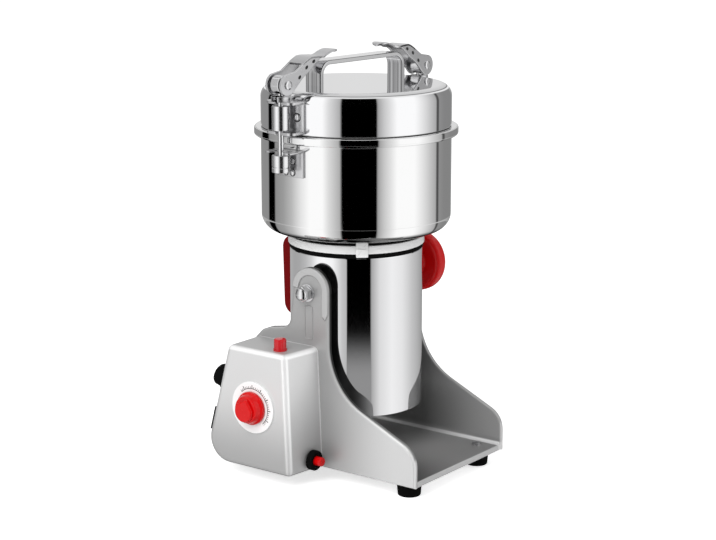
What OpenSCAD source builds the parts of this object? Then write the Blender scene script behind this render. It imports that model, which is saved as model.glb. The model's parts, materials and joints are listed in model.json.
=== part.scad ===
// Swing-type electric coffee grinder: a polished bowl with a clamped lid stands on a motor
// barrel, which tilts forward between the two ears of a cast base with a control box.
// Axes: X to the right, Y to the back, Z up. The barrel's axis is vertical at rest.

/* [Barrel and motor] */
// Outer radius of the motor barrel
barrel_r = 56.3; // [52:0.1:62]
// Wall of the motor barrel
barrel_wall = 1.2; // [1:0.1:2]
// Barrel below the tilt axis
barrel_below = 106.5; // [100:0.5:115]
// Barrel above the tilt axis
barrel_above = 29.2; // [26:0.5:36]
// Height of the black seal on top of the barrel
barrel_seal_h = 3.8; // [2:0.1:5]
// Height of the clamping band
band_h = 7.2; // [5:0.1:9]
// How far the band stands out from the barrel
band_proud = 1.5; // [1:0.1:3]
// Height of the black seal under the bowl
bowl_seal_h = 4.4; // [3:0.1:6]
// Width of the band's clasp
clasp_w = 10; // [8:0.5:14]
// Height of the band's clasp
clasp_h = 13.5; // [9:0.5:15]
// Direction of the clasp, from the right, counter-clockwise
clasp_turn = 221.5; // [200:0.5:250]
// Radius of the motor shaft
shaft_r = 6; // [5:0.25:7]
// Radius of the armature core, as a share of the barrel's
armature_share = 0.462; // [0.4:0.002:0.48]
// Air gap between armature and stator
air_gap = 0.6; // [0.4:0.1:1]
// Radius of the cooling fan
fan_r = 43; // [36:0.5:44]

/* [Bowl] */
// Outer radius of the bowl and of the lid
bowl_r = 80; // [76:0.5:88]
// Wall of the bowl
bowl_wall = 1.5; // [1:0.1:2.5]
// Height of the bowl with its rim
bowl_h = 87.8; // [80:0.5:110]
// Round between the bowl's wall and its bottom
bowl_round = 14; // [8:0.5:20]
// How far the rim stands out from the bowl's wall
rim_w = 5.7; // [4:0.1:8]
// Height of the rim
rim_h = 7.2; // [5:0.1:10]
// Distance of the bowl's screws from the axis
bowl_screw_pcr = 38; // [34:0.5:42]

/* [Lid] */
// Height of the lid above the bowl's rim
lid_h = 34.3; // [28:0.1:45]
// Wall of the lid
lid_wall = 1.4; // [1:0.1:2.5]
// Round between the lid's top and its wall
lid_round = 10; // [5:0.5:12]
// Depth of the lid's spigot inside the bowl
spigot_h = 6; // [4:0.5:10]
// Turn of the lid's handle and left latch on the machine, seen from above
lid_turn = 4.5; // [0:0.5:10]
// Turn of the right latch on the machine, seen from above
right_latch_turn = 0; // [0:0.5:10]
// Length of the lid's handle
handle_l = 106; // [90:1:110]
// Width of the lid's handle
handle_w = 17; // [14:0.5:20]
// Thickness of the lid's handle
handle_t = 3.6; // [2:0.1:5]
// Height of the lid's handle
handle_h = 23; // [18:0.5:23]
// Round of the handle's corners
handle_round = 12; // [8:0.5:14]

/* [Latches] */
// Radius of the latch rods
rod_r = 2.5; // [2:0.1:3]
// Gap between the rim and the latch rods
rod_gap = 3.1; // [2.5:0.1:5]
// Radius of the sleeve on each latch rod
sleeve_r = 7.2; // [6:0.1:7.4]
// Radius of the round nut at the foot of each latch rod
nut_r = 7.5; // [6.5:0.1:8]
// Height of the round nut
nut_h = 14.3; // [10:0.1:18]
// Radius of the latch pins
latch_pin_r = 2.4; // [2:0.1:3]
// Radius of the lever's cheeks round the pin
cheek_r = 8.8; // [8:0.1:9.5]
// Width over the lever's cheeks
lever_w = 17; // [15:0.5:20]
// Sheet of the levers
lever_t = 2; // [1.5:0.1:2.5]
// Height of the latch pins above the lid's flat top
latch_pin_rise = 7.1; // [6:0.1:10]
// Width of the latch brackets
bracket_w = 30; // [26:0.5:34]
// Sheet of the latch brackets
bracket_t = 2.4; // [1.6:0.1:3]
// Height of the collar under each lever
collar_h = 4.2; // [3:0.1:6]

/* [Base] */
// Gap between the barrel and the inside of the ears
barrel_gap = 3.7; // [3:0.1:6]
// Thickness added inside each ear round the pivot
ear_boss_t = 2; // [1:0.1:4]
// Thickness of the side plates
plate_t = 5; // [4:0.1:7]
// Front edge of the base in front of the barrel's axis
base_front = 109; // [100:1:130]
// Back edge of the base behind the barrel's axis
base_back = 78; // [74:1:95]
// Height of the tilt axis above the table
pivot_z = 160.5; // [155:0.5:175]
// Thickness of the floor
floor_t = 5; // [3:0.5:8]
// Radius of each ear
ear_r = 18.5; // [17:0.5:22]
// Width of the raised rim round each ear
ear_rim_w = 6.5; // [4:0.5:8]
// Height of the low wall across the back, above the floor
back_wall_h = 24; // [10:1:30]
// Radius of the hollow between each ear and its plate's front slope
front_hollow_r = 57; // [45:1:62]
// Slope of the plates' front edge
front_slope = 24.6; // [20:0.1:28]
// Radius of the plates' front corner
front_corner_r = 20; // [12:0.5:24]
// Height of the rubber feet
foot_h = 12; // [8:0.5:16]
// Radius of the rubber feet at their top
foot_r = 10.5; // [8:0.5:12]
// Distance of the feet from the base's edges
foot_inset = 17; // [14:0.5:24]

/* [Pivot] */
// Radius of the pivot bolt and of the lock knob's stud
pivot_r = 4; // [3:0.1:5]
// Width over the flats of the pivot bolt's head
pivot_hex = 12; // [11:0.5:17]
// Radius of the barrel's pivot pads
pad_r = 13; // [10:0.5:15]
// Radius of the lock knob
lock_knob_r = 27; // [22:0.5:32]
// Thickness of the lock knob's rim
lock_knob_t = 14; // [12:0.5:22]
// Length of the lock knob's hub
lock_hub_l = 17; // [14:0.5:26]

/* [Control box] */
// How far the control box stands out from the side plate
box_w = 39; // [36:0.5:50]
// Height of the control box
box_h = 103.8; // [98:0.5:115]
// Front of the control box at its outer top corner, in front of the axis
box_front = 6.5; // [4:0.5:12]
// Back of the control box at its outer top corner, behind the axis
box_back = 55.8; // [50:0.1:62]
// How much further back the box reaches near its foot
box_back_flare = 21; // [14:0.5:24]
// Wall of the control box
box_wall = 2.2; // [1.6:0.1:3]
// Round of the box's edges
box_round = 5; // [3:0.5:7]
// Radius of the round at the box's back foot
box_foot_round = 20; // [12:0.5:24]
// Radius of the timer's dial
dial_r = 22; // [18:0.5:24]
// Radius of the timer's knob
knob_r = 14; // [11:0.5:16]
// Height of the timer's knob
knob_h = 12; // [8:0.5:15]
// Radius of the pilot lamp
lamp_r = 5.2; // [4:0.1:7]
// Height of the pilot lamp above the box
lamp_h = 10; // [6:0.5:14]
// Radius of the breaker's collar
breaker_r = 8.5; // [7:0.1:9]
// Radius of the breaker's button
breaker_button_r = 3.8; // [3:0.1:5]
// Width of the rocker switch
rocker_w = 15; // [12:0.5:18]
// Height of the rocker switch
rocker_h = 21; // [18:0.5:24]
// Radius of the cable gland's cap
gland_r = 11; // [9:0.5:12]

/* [Rear handle] */
// Reach of the rear handle from the barrel's axis
rear_reach = 84; // [80:0.5:95]
// Height of the rear handle
rear_h = 70; // [58:1:74]
// Width of the rear handle
rear_w = 16; // [12:0.5:20]
// Thickness of the rear handle's grip
rear_grip_t = 11; // [9:0.5:13]
// Turn of the rear handle on the barrel, seen from above
rear_turn = 8; // [0:0.5:14]

/* [Blades] */
// Radius swept by the lower blade
lower_blade_r = 72; // [60:0.5:75]
// Radius swept by the upper blade
upper_blade_r = 66; // [55:0.5:72]
// Width of the blades
blade_w = 22; // [16:0.5:26]
// Thickness of the blades
blade_t = 2.5; // [1.5:0.1:3.5]
// Distance between the blades
blade_step = 22; // [16:0.5:28]

/* [Hidden] */
$fn = 96;
// Facets of a hull's own balls and of its discs
ball_fn = 28;
disc_fn = 56;
// Overrun of every cut
eps = 1;
// Running clearance of shafts and hinge pins, on the radius
run_gap = 0.05;
// Gap between pieces that move past each other
gap = 0.3;

// Heights, from the table up
base_z = foot_h;
floor_z = base_z + floor_t;
barrel_z0 = pivot_z - barrel_below;
barrel_z1 = pivot_z + barrel_above;
band_z0 = barrel_z1 + barrel_seal_h;
band_z1 = band_z0 + band_h;
bowl_z0 = band_z1 + bowl_seal_h;
bowl_z1 = bowl_z0 + bowl_h;
rim_z0 = bowl_z1 - rim_h;
lid_gap = 0.5;
lid_z0 = bowl_z1 + lid_gap;
lid_z1 = lid_z0 + lid_h;
latch_pin_z = lid_z1 + latch_pin_rise;
collar_z1 = latch_pin_z - cheek_r - gap;
collar_z0 = collar_z1 - collar_h;
bracket_z1 = collar_z0;
bracket_z0 = lid_z0 + bracket_t / 2;
// Play of each sleeve between its bracket's flanges
sleeve_gap = 1;

// Widths, from the axis out
ear_in_x = barrel_r + barrel_gap;
plate_in_x = ear_in_x + ear_boss_t;
plate_out_x = plate_in_x + plate_t;
rim_r = bowl_r + rim_w;
latch_r = rim_r + rod_gap + rod_r;
box_out_x = plate_out_x + box_w;

// Box of the whole machine, whose centre is the part's origin
dial_t = 1.6;
ear_rim_rise = 1.2;
lock_gap = ear_rim_rise + gap;
x_low = -(box_out_x + dial_t + gap + knob_h);
x_high = max(plate_out_x + lock_gap + lock_hub_l + lock_knob_t, latch_r + cheek_r);
y_low = -base_front;
rear_side = rear_w / 2;
y_high = max(rim_r, rear_reach * cos(rear_turn) + rear_side * sin(rear_turn));
origin_x = (x_low + x_high) / 2;
origin_y = (y_low + y_high) / 2;

// Colours
steel = "gainsboro";
dark_steel = "dimgray";
silver_paint = "silver";
red_plastic = "firebrick";
black_rubber = "#1c1c1c";
copper = "#b4622d";

// Shared helpers

// Moves a piece from the barrel's axis to the part's origin
module place() {
    translate([-origin_x, -origin_y, 0]) children();
}

// Points of an arc about a centre, from one angle to another
function arc(cx, cy, r, a0, a1, steps) =
    [for (i = [0 : steps]) let (a = a0 + (a1 - a0) * i / steps) [cx + r * cos(a), cy + r * sin(a)]];

// Tube standing on z0
module tube(r_out, r_in, z0, h) {
    translate([0, 0, z0]) difference() {
        cylinder(r = r_out, h = h);
        translate([0, 0, -eps]) cylinder(r = r_in, h = h + 2 * eps);
    }
}

// Cylinder along X from x0
module x_cyl(x0, y, z, r, l) {
    translate([x0, y, z]) rotate([0, 90, 0]) cylinder(r = r, h = l);
}

// Cylinder along Y from y0
module y_cyl(x, y0, z, r, l) {
    translate([x, y0, z]) rotate([-90, 0, 0]) cylinder(r = r, h = l);
}

// Turned to a latch: side 0 is on the left, side 1 on the right
module at_latch(side) {
    rotate([0, 0, side == 0 ? -lid_turn : 180 - right_latch_turn]) children();
}

// Pattern places round the axis, at the given angles and radius
module around(angles, r) {
    for (a = angles) rotate([0, 0, a]) translate([r, 0, 0]) children();
}

// Outline in Y and Z made solid along X
module yz_slab(x0, t) {
    translate([x0, 0, 0]) rotate([90, 0, 90]) linear_extrude(t) children();
}

// Base casting

ear_shift = 3;
ear_rise = 3;
ear_y = -ear_shift;
ear_z = pivot_z + ear_rise;
neck_front = ear_y - ear_r;
neck_back = ear_y + ear_r;
corner_y = front_corner_r - base_front;
// The front slope starts on the round of the front corner
corner_rise = 17.5;
corner_z = base_z + corner_rise;
slope_y = corner_y - front_corner_r * sin(front_slope);
slope_z = corner_z + front_corner_r * cos(front_slope);
hollow_y = neck_front - front_hollow_r;
hollow_z = slope_z + (hollow_y - slope_y) * tan(front_slope) + front_hollow_r / cos(front_slope);
// Shoulder behind the neck, then the edge down to the back
neck_lean = 4;
shoulder_r = 9;
shoulder_fall = 33;
shoulder_drop = 2;
shoulder_z = pivot_z - shoulder_fall;
shoulder_in = 38;
knee_in = 28;
knee_fall = 39;
hip_in = 21;
hip_fall = 46;
back_fall = 76;

module plate_profile() {
    polygon(concat(
        [[-base_front, base_z]],
        arc(corner_y, corner_z, front_corner_r, 180, 90 + front_slope, 12),
        arc(hollow_y, hollow_z, front_hollow_r, front_slope - 90, 0, 18),
        arc(ear_y, ear_z, ear_r, 180, 0, 24),
        arc(neck_back + neck_lean + shoulder_r, shoulder_z + shoulder_r, shoulder_r, 180, 265, 8),
        [[base_back - shoulder_in, shoulder_z - shoulder_drop],
         [base_back - knee_in, pivot_z - knee_fall],
         [base_back - hip_in, pivot_z - hip_fall],
         [base_back, pivot_z - back_fall],
         [base_back, base_z]]));
}

// Raised rim round the ear and down its front edge, to a pointed foot
ear_rim_fall = 22;

module ear_rim_outline() {
    foot_z = pivot_z - ear_rim_fall;
    polygon(concat(
        arc(ear_y, ear_z, ear_r, 0, 180, 24),
        [[neck_front, foot_z + ear_rim_w],
         [neck_front + ear_rim_w / 2, foot_z],
         [neck_front + ear_rim_w, foot_z + ear_rim_w / 2]],
        arc(ear_y, ear_z, ear_r - ear_rim_w, 180, 0, 20)));
}

// Shallow recess in the neck, under the pivot
recess_w = 8;
recess_h = 28;
recess_fall = 11;
recess_depth = 1.2;
recess_y = ear_y - recess_w / 4;
ear_boss_r = ear_r - 2 * ear_boss_t;

module side_plate() {
    difference() {
        union() {
            yz_slab(plate_in_x, plate_t) plate_profile();
            yz_slab(plate_out_x - ear_rim_rise, 2 * ear_rim_rise) ear_rim_outline();
            x_cyl(ear_in_x, 0, pivot_z, ear_boss_r, ear_boss_t + plate_t / 2);
        }
        translate([plate_out_x - recess_depth, recess_y, pivot_z - recess_fall - recess_h])
            cube([recess_depth + eps, recess_w, recess_h]);
        x_cyl(ear_in_x - eps, 0, pivot_z, pivot_r + run_gap, plate_t + ear_boss_t + 2 * eps);
    }
}

foot_places = [for (sx = [-1, 1], y = [foot_inset - base_front, base_back - foot_inset])
    [sx * (plate_out_x - foot_inset), y]];
foot_screw_r = 2;
back_wall_t = 4;
wire_hole_r = 1.9;
box_screw_r = 1.6;

module base_casting() {
    color(silver_paint) place() difference() {
        union() {
            side_plate();
            mirror([1, 0, 0]) side_plate();
            translate([-plate_in_x, -base_front, base_z])
                cube([2 * plate_in_x, base_front + base_back, floor_t]);
            translate([-plate_in_x, base_back - back_wall_t, floor_z])
                cube([2 * plate_in_x, back_wall_t, back_wall_h]);
        }
        for (p = foot_places)
            translate([p[0], p[1], base_z - eps]) cylinder(r = foot_screw_r + run_gap, h = floor_t + 2 * eps);
        for (p = box_screw_places)
            x_cyl(-plate_out_x - eps, p[0], p[1], box_screw_r, plate_t + 2 * eps);
        x_cyl(-plate_out_x - eps, dial_y, dial_z, wire_hole_r, plate_t + 2 * eps);
    }
}

foot_taper = 1;
foot_head_r = 3.6;
foot_head_h = 2;
foot_screw_l = floor_t + foot_h * 2 / 3;

module rubber_feet() {
    color(black_rubber) place() for (p = foot_places)
        translate([p[0], p[1], 0]) difference() {
            cylinder(r1 = foot_r - foot_taper, r2 = foot_r, h = foot_h);
            translate([0, 0, foot_h - foot_screw_l + floor_t]) cylinder(r = foot_screw_r, h = foot_h);
        }
}

module foot_screws() {
    color(steel) place() for (p = foot_places)
        translate([p[0], p[1], floor_z]) {
            difference() {
                cylinder(r = foot_head_r, h = foot_head_h);
                translate([-foot_head_r, -foot_head_h / 5, foot_head_h / 2])
                    cube([2 * foot_head_r, foot_head_h * 2 / 5, foot_head_h]);
            }
            translate([0, 0, -foot_screw_l]) cylinder(r = foot_screw_r, h = foot_screw_l + foot_head_h / 4);
        }
}

// Control box, a hollow cover on the outer face of the left side plate

box_top_z = base_z + box_h;
// The front face turns and leans a little, so its inner foot is furthest forward
box_front_turn = 4;
box_front_lean = 4.5;
box_foot_y = box_back + box_back_flare - box_foot_round;
// Centre of the back's top round, and the slope of the face that touches both rounds
back_top_y = box_back - box_round;
back_top_z = box_top_z - box_round;
back_run = [box_foot_y - back_top_y, back_top_z - base_z - box_foot_round];
back_angle = atan2(back_run[0], back_run[1]) + asin((box_foot_round - box_round) / norm(back_run));

// Rounded disc across the box, whose edge has the box's own round
module foot_disc(r, round_r, x0, x1) {
    translate([x0, box_foot_y, base_z + box_foot_round]) rotate([0, 90, 0]) {
        translate([0, 0, round_r]) rotate_extrude($fn = disc_fn)
            translate([r - round_r, 0]) circle(r = round_r, $fn = ball_fn);
        translate([0, 0, round_r]) cylinder(r = r, h = x1 - x0 - round_r, $fn = disc_fn);
    }
}

// Solid of the box, drawn in by inset
module box_solid(inset) {
    ball = box_round - inset / 2;
    x0 = -box_out_x + inset;
    reach = box_round + eps;
    hull() {
        // Outer corners, and the same corners run past the plate's face
        translate([x0 + ball, ball + inset - box_front, box_top_z - inset - ball])
            sphere(r = ball, $fn = ball_fn);
        translate([x0 + ball, ball + inset - box_front - box_front_lean, base_z + inset + ball])
            sphere(r = ball, $fn = ball_fn);
        translate([x0 + ball, box_back - ball - inset, box_top_z - inset - ball])
            sphere(r = ball, $fn = ball_fn);
        translate([reach - plate_out_x, ball + inset - box_front - box_front_turn, box_top_z - inset - ball])
            sphere(r = ball, $fn = ball_fn);
        translate([reach - plate_out_x, ball + inset - box_front - box_front_turn - box_front_lean,
                   base_z + inset + ball])
            sphere(r = ball, $fn = ball_fn);
        translate([reach - plate_out_x, box_back - ball - inset, box_top_z - inset - ball])
            sphere(r = ball, $fn = ball_fn);
        foot_disc(box_foot_round - inset, ball, x0, reach - plate_out_x);
    }
}

// Places in the box, each from the box's own faces
dial_y = 27;
dial_rise = 54.5;
dial_z = base_z + dial_rise;
spindle_r = 3;
lamp_x = -plate_out_x - box_w * 0.68;
lamp_y = 8;
breaker_edge = 4;
breaker_rise = 1.5;
breaker_x = -plate_out_x - breaker_r - breaker_edge;
breaker_z = base_z + breaker_r + breaker_rise;
breaker_seat = 0.4;
breaker_face_y = front_y(breaker_z, 0.7) - breaker_seat;
breaker_hole_r = 6.5;
rear_x = -plate_out_x - box_w / 2;
gland_shift = 4.5;
gland_x = rear_x - gland_shift;
gland_rise = 69;
gland_z = base_z + gland_rise;
rocker_shift = 7;
rocker_x = rear_x - rocker_shift;
rocker_rise = 34.8;
rocker_z = base_z + rocker_rise;
lamp_hole_r = 4;
gland_hole_r = 7;
rocker_hole_gap = 1.5;

// Front of the box at a height; lean_in is 0 at its outer face and 1 at the plate
function front_y(z, lean_in) = -box_front - box_front_lean * (box_top_z - z) / box_h - box_front_turn * lean_in;

// Back of the box at a height
function back_y(z) = back_top_y + ((back_top_z - z) * sin(back_angle) + box_round) / cos(back_angle);

// Screws from inside the plate into lugs along the box's walls
box_screw_l = 14;
box_screw_head_r = 3;
box_screw_head_h = 1.8;
box_lug_r = 4;
lug_bite = 0.8;
lug_in = box_wall + box_lug_r - lug_bite;
lug_top = box_top_z - lug_in;
lug_front = breaker_z + breaker_r + box_lug_r + 2 * box_wall;
box_screw_places = [
    [front_y(lug_top, 0.8) + lug_in, lug_top],
    [back_y(lug_top) - lug_in, lug_top],
    [front_y(lug_front, 0.8) + lug_in, lug_front],
    [box_foot_y + (box_foot_round - lug_in) * cos(30), base_z + box_foot_round - (box_foot_round - lug_in) * sin(30)]];

// Frame on the leaning back face: Z points out of the face
module at_back_face(x, z) {
    translate([x, back_y(z), z]) rotate([back_angle - 90, 0, 0]) children();
}

module control_box() {
    color(silver_paint) place() difference() {
        union() {
            difference() {
                box_solid(0);
                box_solid(box_wall);
            }
            // Lugs for the screws that come through the plate
            for (p = box_screw_places) intersection() {
                x_cyl(-plate_out_x - box_screw_l, p[0], p[1], box_lug_r, box_screw_l);
                box_solid(0);
            }
        }
        translate([-plate_out_x, -base_front, 0])
            cube([box_w, base_front + base_back + box_w, box_top_z + box_w]);
        for (p = box_screw_places)
            x_cyl(-plate_out_x - box_screw_l + plate_t, p[0], p[1], box_screw_r, box_screw_l);
        x_cyl(-box_out_x - eps, dial_y, dial_z, spindle_r + gap, box_wall + 2 * eps);
        translate([lamp_x, lamp_y, box_top_z - box_wall - eps])
            cylinder(r = lamp_hole_r, h = box_wall + 2 * eps);
        y_cyl(breaker_x, -box_front - box_w, breaker_z, breaker_hole_r, box_w + box_wall + 2 * eps);
        at_back_face(gland_x, gland_z) translate([0, 0, -2 * box_wall]) cylinder(r = gland_hole_r, h = box_w);
        at_back_face(rocker_x, rocker_z) translate([-rocker_w / 2 + rocker_hole_gap, -rocker_h / 2 + rocker_hole_gap,
                                          -2 * box_wall])
            cube([rocker_w - 2 * rocker_hole_gap, rocker_h - 2 * rocker_hole_gap, box_w]);
    }
}

module control_box_screws() {
    color(steel) place() for (p = box_screw_places) {
        x_cyl(-plate_out_x - box_screw_l + plate_t + gap, p[0], p[1], box_screw_r, box_screw_l - gap);
        x_cyl(-plate_in_x, p[0], p[1], box_screw_head_r, box_screw_head_h);
    }
}

module timer_dial() {
    color("white") place() difference() {
        x_cyl(-box_out_x - dial_t, dial_y, dial_z, dial_r, dial_t);
        x_cyl(-box_out_x - dial_t - eps, dial_y, dial_z, spindle_r + gap, dial_t + 2 * eps);
    }
}

timer_size = 32;
timer_depth = 17;
timer_bush_r = 5;

module timer_unit() {
    x0 = -box_out_x + box_wall + run_gap;
    color("#d8cfae") place() difference() {
        translate([x0, dial_y - timer_size / 2, dial_z - timer_size / 2])
            cube([timer_depth, timer_size, timer_size]);
        x_cyl(x0 - eps, dial_y, dial_z, spindle_r + run_gap, timer_depth - 2 * box_wall + eps);
    }
}

knob_taper = 1.5;
knob_skirt_h = 3;
grip_rise = 3;
grip_r = 9;
grip_back = 1;
grip_tip_r = 2;
// Turn of the knob's tip from straight up, towards the front
knob_turn = 15;

// Drop-shaped grip of the knob, whose tip points along its own X
module grip_outline() {
    polygon(concat(
        arc(-grip_back, 0, grip_r, 65, 295, 20),
        arc(knob_r - 2 * knob_taper - grip_tip_r - grip_back, 0, grip_tip_r, -60, 60, 6)));
}

module timer_knob() {
    x1 = -box_out_x - dial_t - gap;
    color(red_plastic) place() translate([x1, dial_y, dial_z]) rotate([0, -90, 0]) {
        rotate_extrude() polygon([
            [0, 0], [knob_r, 0], [knob_r, knob_skirt_h], [knob_r - knob_taper, knob_skirt_h + knob_taper],
            [knob_r - 2 * knob_taper, knob_h - grip_rise], [0, knob_h - grip_rise]]);
        rotate([0, 0, -knob_turn]) translate([0, 0, knob_skirt_h]) linear_extrude(knob_h - knob_skirt_h)
            grip_outline();
        translate([0, 0, -spindle_l]) cylinder(r = spindle_r, h = spindle_l + knob_skirt_h);
    }
}

spindle_l = dial_t + gap + box_wall + timer_depth - 3 * box_wall;

lamp_skirt_h = 1.5;

module lamp_lens() {
    color("red") place() translate([lamp_x, lamp_y, box_top_z + lamp_skirt_h]) difference() {
        cylinder(r = lamp_r, h = lamp_h - lamp_skirt_h);
        translate([0, 0, -eps]) cylinder(r = lamp_r - 2 * lamp_wall, h = lamp_h - lamp_skirt_h - lamp_wall + eps);
    }
}

lamp_wall = 1;
lamp_body_l = 20;
lamp_nut_h = 3;

module lamp_body() {
    color(black_rubber) place() translate([lamp_x, lamp_y, 0]) {
        translate([0, 0, box_top_z]) cylinder(r = lamp_r + lamp_wall / 2, h = lamp_skirt_h);
        translate([0, 0, box_top_z - lamp_body_l]) cylinder(r = lamp_hole_r - run_gap, h = lamp_body_l);
        translate([0, 0, box_top_z - box_wall - lamp_nut_h]) cylinder(r = lamp_r + lamp_wall, h = lamp_nut_h, $fn = 6);
    }
}

breaker_collar_l = 5;
breaker_body_l = 24;

module breaker_body() {
    color(black_rubber) place() difference() {
        union() {
            y_cyl(breaker_x, breaker_face_y - breaker_collar_l, breaker_z, breaker_r, breaker_collar_l);
            y_cyl(breaker_x, breaker_face_y - eps, breaker_z, breaker_hole_r - run_gap, breaker_body_l);
            y_cyl(breaker_x, breaker_face_y + 2 * box_wall + eps, breaker_z, breaker_r - eps, breaker_body_l);
        }
        y_cyl(breaker_x, breaker_face_y - breaker_collar_l - eps, breaker_z, breaker_button_r + run_gap,
              breaker_body_l);
    }
}

breaker_button_l = 15;
breaker_button_out = 6;

module breaker_button() {
    color(red_plastic) place()
        y_cyl(breaker_x, breaker_face_y - breaker_collar_l - breaker_button_out, breaker_z, breaker_button_r,
              breaker_button_l);
}

rocker_frame_t = 3;
rocker_depth = 16;
rocker_wall = 1.8;
rocker_pin_z = 1.6;
rocker_swing = 10;

module rocker_frame() {
    ow = rocker_w;
    oh = rocker_h;
    iw = rocker_w - 2 * rocker_hole_gap - 2 * gap;
    ih = rocker_h - 2 * rocker_hole_gap - 2 * gap;
    color(black_rubber) place() at_back_face(rocker_x, rocker_z) difference() {
        union() {
            translate([-ow / 2, -oh / 2, 0]) cube([ow, oh, rocker_frame_t]);
            translate([-iw / 2, -ih / 2, -rocker_depth]) cube([iw, ih, rocker_depth + rocker_frame_t / 2]);
        }
        translate([-iw / 2 + rocker_wall, -ih / 2 + rocker_wall, -rocker_depth / 2])
            cube([iw - 2 * rocker_wall, ih - 2 * rocker_wall, rocker_depth]);
    }
}

rocker_r = 6;

module rocker_button() {
    bw = rocker_w - 2 * rocker_hole_gap - 2 * gap - 2 * rocker_wall - 2 * gap;
    color(black_rubber) place() at_back_face(rocker_x, rocker_z) translate([0, 0, rocker_pin_z])
        rotate([-rocker_swing, 0, 0]) difference() {
            translate([-bw / 2, 0, 0]) rotate([0, 90, 0]) cylinder(r = rocker_r, h = bw);
            // Two flats make the shallow V of a rocker
            for (s = [-1, 1]) rotate([s * rocker_swing, 0, 0])
                translate([-bw, s > 0 ? 0 : -2 * rocker_r, rocker_r / 2]) cube([2 * bw, 2 * rocker_r, rocker_r]);
        }
}

gland_flange_t = 3;
gland_cap_h = 13;
gland_cap_wall = 3;
gland_round = 3;
gland_bore_r = 3.6;
gland_thread_l = 9;
gland_nut_h = 4;
gland_nut_r = 10;
gland_seal_r = 6;

module cable_gland() {
    cap_r = gland_r - gland_flange_t / 2;
    color(black_rubber) place() at_back_face(gland_x, gland_z) difference() {
        union() {
            cylinder(r = gland_r, h = gland_flange_t);
            rotate_extrude() polygon(concat(
                [[0, 0], [cap_r, 0]],
                arc(cap_r - gland_round, gland_cap_h - gland_round, gland_round, 0, 90, 8),
                [[0, gland_cap_h]]));
            translate([0, 0, -gland_thread_l]) cylinder(r = gland_hole_r - run_gap, h = gland_thread_l);
            translate([0, 0, -box_wall - gland_nut_h - gap]) cylinder(r = gland_nut_r, h = gland_nut_h, $fn = 6);
        }
        translate([0, 0, -gland_thread_l - eps])
            cylinder(r = gland_seal_r, h = gland_thread_l + gland_cap_h - gland_cap_wall);
        cylinder(r = gland_bore_r + gap, h = gland_cap_h + eps);
    }
}

module gland_seal() {
    color("dimgray") place() at_back_face(gland_x, gland_z) difference() {
        translate([0, 0, -gland_thread_l / 2]) cylinder(r = gland_seal_r, h = gland_thread_l + gland_thread_l / 4);
        translate([0, 0, -gland_thread_l]) cylinder(r = gland_bore_r, h = 2 * gland_thread_l + gland_cap_h);
    }
}

// Pivot of the tilting barrel

washer_r = 7.5;
washer_t = 1.5;
pivot_head_h = 7;
pivot_dome_h = 3.5;
pivot_reach = 8;
thrust_t = 1;
// Length of the bolt or stud in the ear and in the barrel's pad
pivot_l = plate_out_x - ear_in_x + barrel_gap + pivot_reach;

module pivot_bolt() {
    color(steel) place() translate([-plate_out_x, 0, pivot_z]) rotate([0, -90, 0]) {
        cylinder(r = washer_r, h = washer_t);
        translate([0, 0, washer_t]) cylinder(r = pivot_hex / sqrt(3), h = pivot_head_h, $fn = 6);
        // Domed end of the head
        translate([0, 0, washer_t + pivot_head_h]) rotate_extrude()
            polygon(concat([[0, 0]], [for (a = [0 : 15 : 90]) [pivot_hex * 0.46 * cos(a), pivot_dome_h * sin(a)]]));
        translate([0, 0, -pivot_l]) cylinder(r = pivot_r, h = pivot_l + washer_t);
    }
}

module pivot_washers() {
    color("ivory") place() for (s = [0, 1]) mirror([s, 0, 0]) difference() {
        x_cyl(ear_in_x - thrust_t, 0, pivot_z, pad_r - thrust_t, thrust_t);
        x_cyl(ear_in_x - thrust_t - eps, 0, pivot_z, pivot_r + gap, thrust_t + 2 * eps);
    }
}

lock_neck_r = 7;
lock_neck_l = 3;
lock_hub_r = 11;
lock_dish = 4;
lock_round = 5;

// Big hand knob on the right ear: its hub is next to the ear and its dished face looks outward
module lock_knob() {
    r = lock_knob_r;
    t = lock_knob_t;
    color(red_plastic) place() translate([plate_out_x + lock_gap, 0, pivot_z]) rotate([0, 90, 0]) {
        translate([0, 0, lock_hub_l]) rotate_extrude() polygon(concat(
            [[0, 0], [lock_hub_r, 0]],
            arc(r - lock_round, lock_round, lock_round, -90, 0, 8),
            arc(r - lock_round, t - lock_round, lock_round, 0, 90, 8),
            [[r - 2 * lock_round, t], [lock_hub_r, t - lock_dish], [0, t - lock_dish]]));
        translate([0, 0, lock_neck_l]) cylinder(r = lock_hub_r, h = lock_hub_l - lock_neck_l + eps);
        cylinder(r = lock_neck_r, h = lock_neck_l + eps);
        translate([0, 0, -lock_gap - pivot_l]) cylinder(r = pivot_r, h = lock_gap + pivot_l + eps);
    }
}

// Motor barrel and what it holds

pad_out_x = ear_in_x - thrust_t - gap;
pad_in_x = barrel_r - pivot_reach;
rear_screw_r = 2;
rear_drop = 2;
rear_z0 = barrel_z1 - rear_h - rear_drop;
rear_screw_zs = [rear_z0 + rear_grip_t / 2, rear_z0 + rear_h - rear_grip_t / 2];
cover_lug_in = 10.3;
cover_lug_pcr = barrel_r - cover_lug_in;

module motor_barrel() {
    color(steel) place() difference() {
        union() {
            tube(barrel_r, barrel_r - barrel_wall, barrel_z0, barrel_z1 - barrel_z0);
            for (s = [0, 1]) mirror([s, 0, 0]) x_cyl(pad_in_x, 0, pivot_z, pad_r, pad_out_x - pad_in_x);
        }
        for (s = [0, 1]) mirror([s, 0, 0]) x_cyl(pad_in_x - eps, 0, pivot_z, pivot_r + run_gap, pad_r + 2 * eps);
        rotate([0, 0, -rear_turn]) for (z = rear_screw_zs)
            y_cyl(0, barrel_r - 2 * barrel_wall, z, rear_screw_r, 4 * barrel_wall);
    }
}

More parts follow.
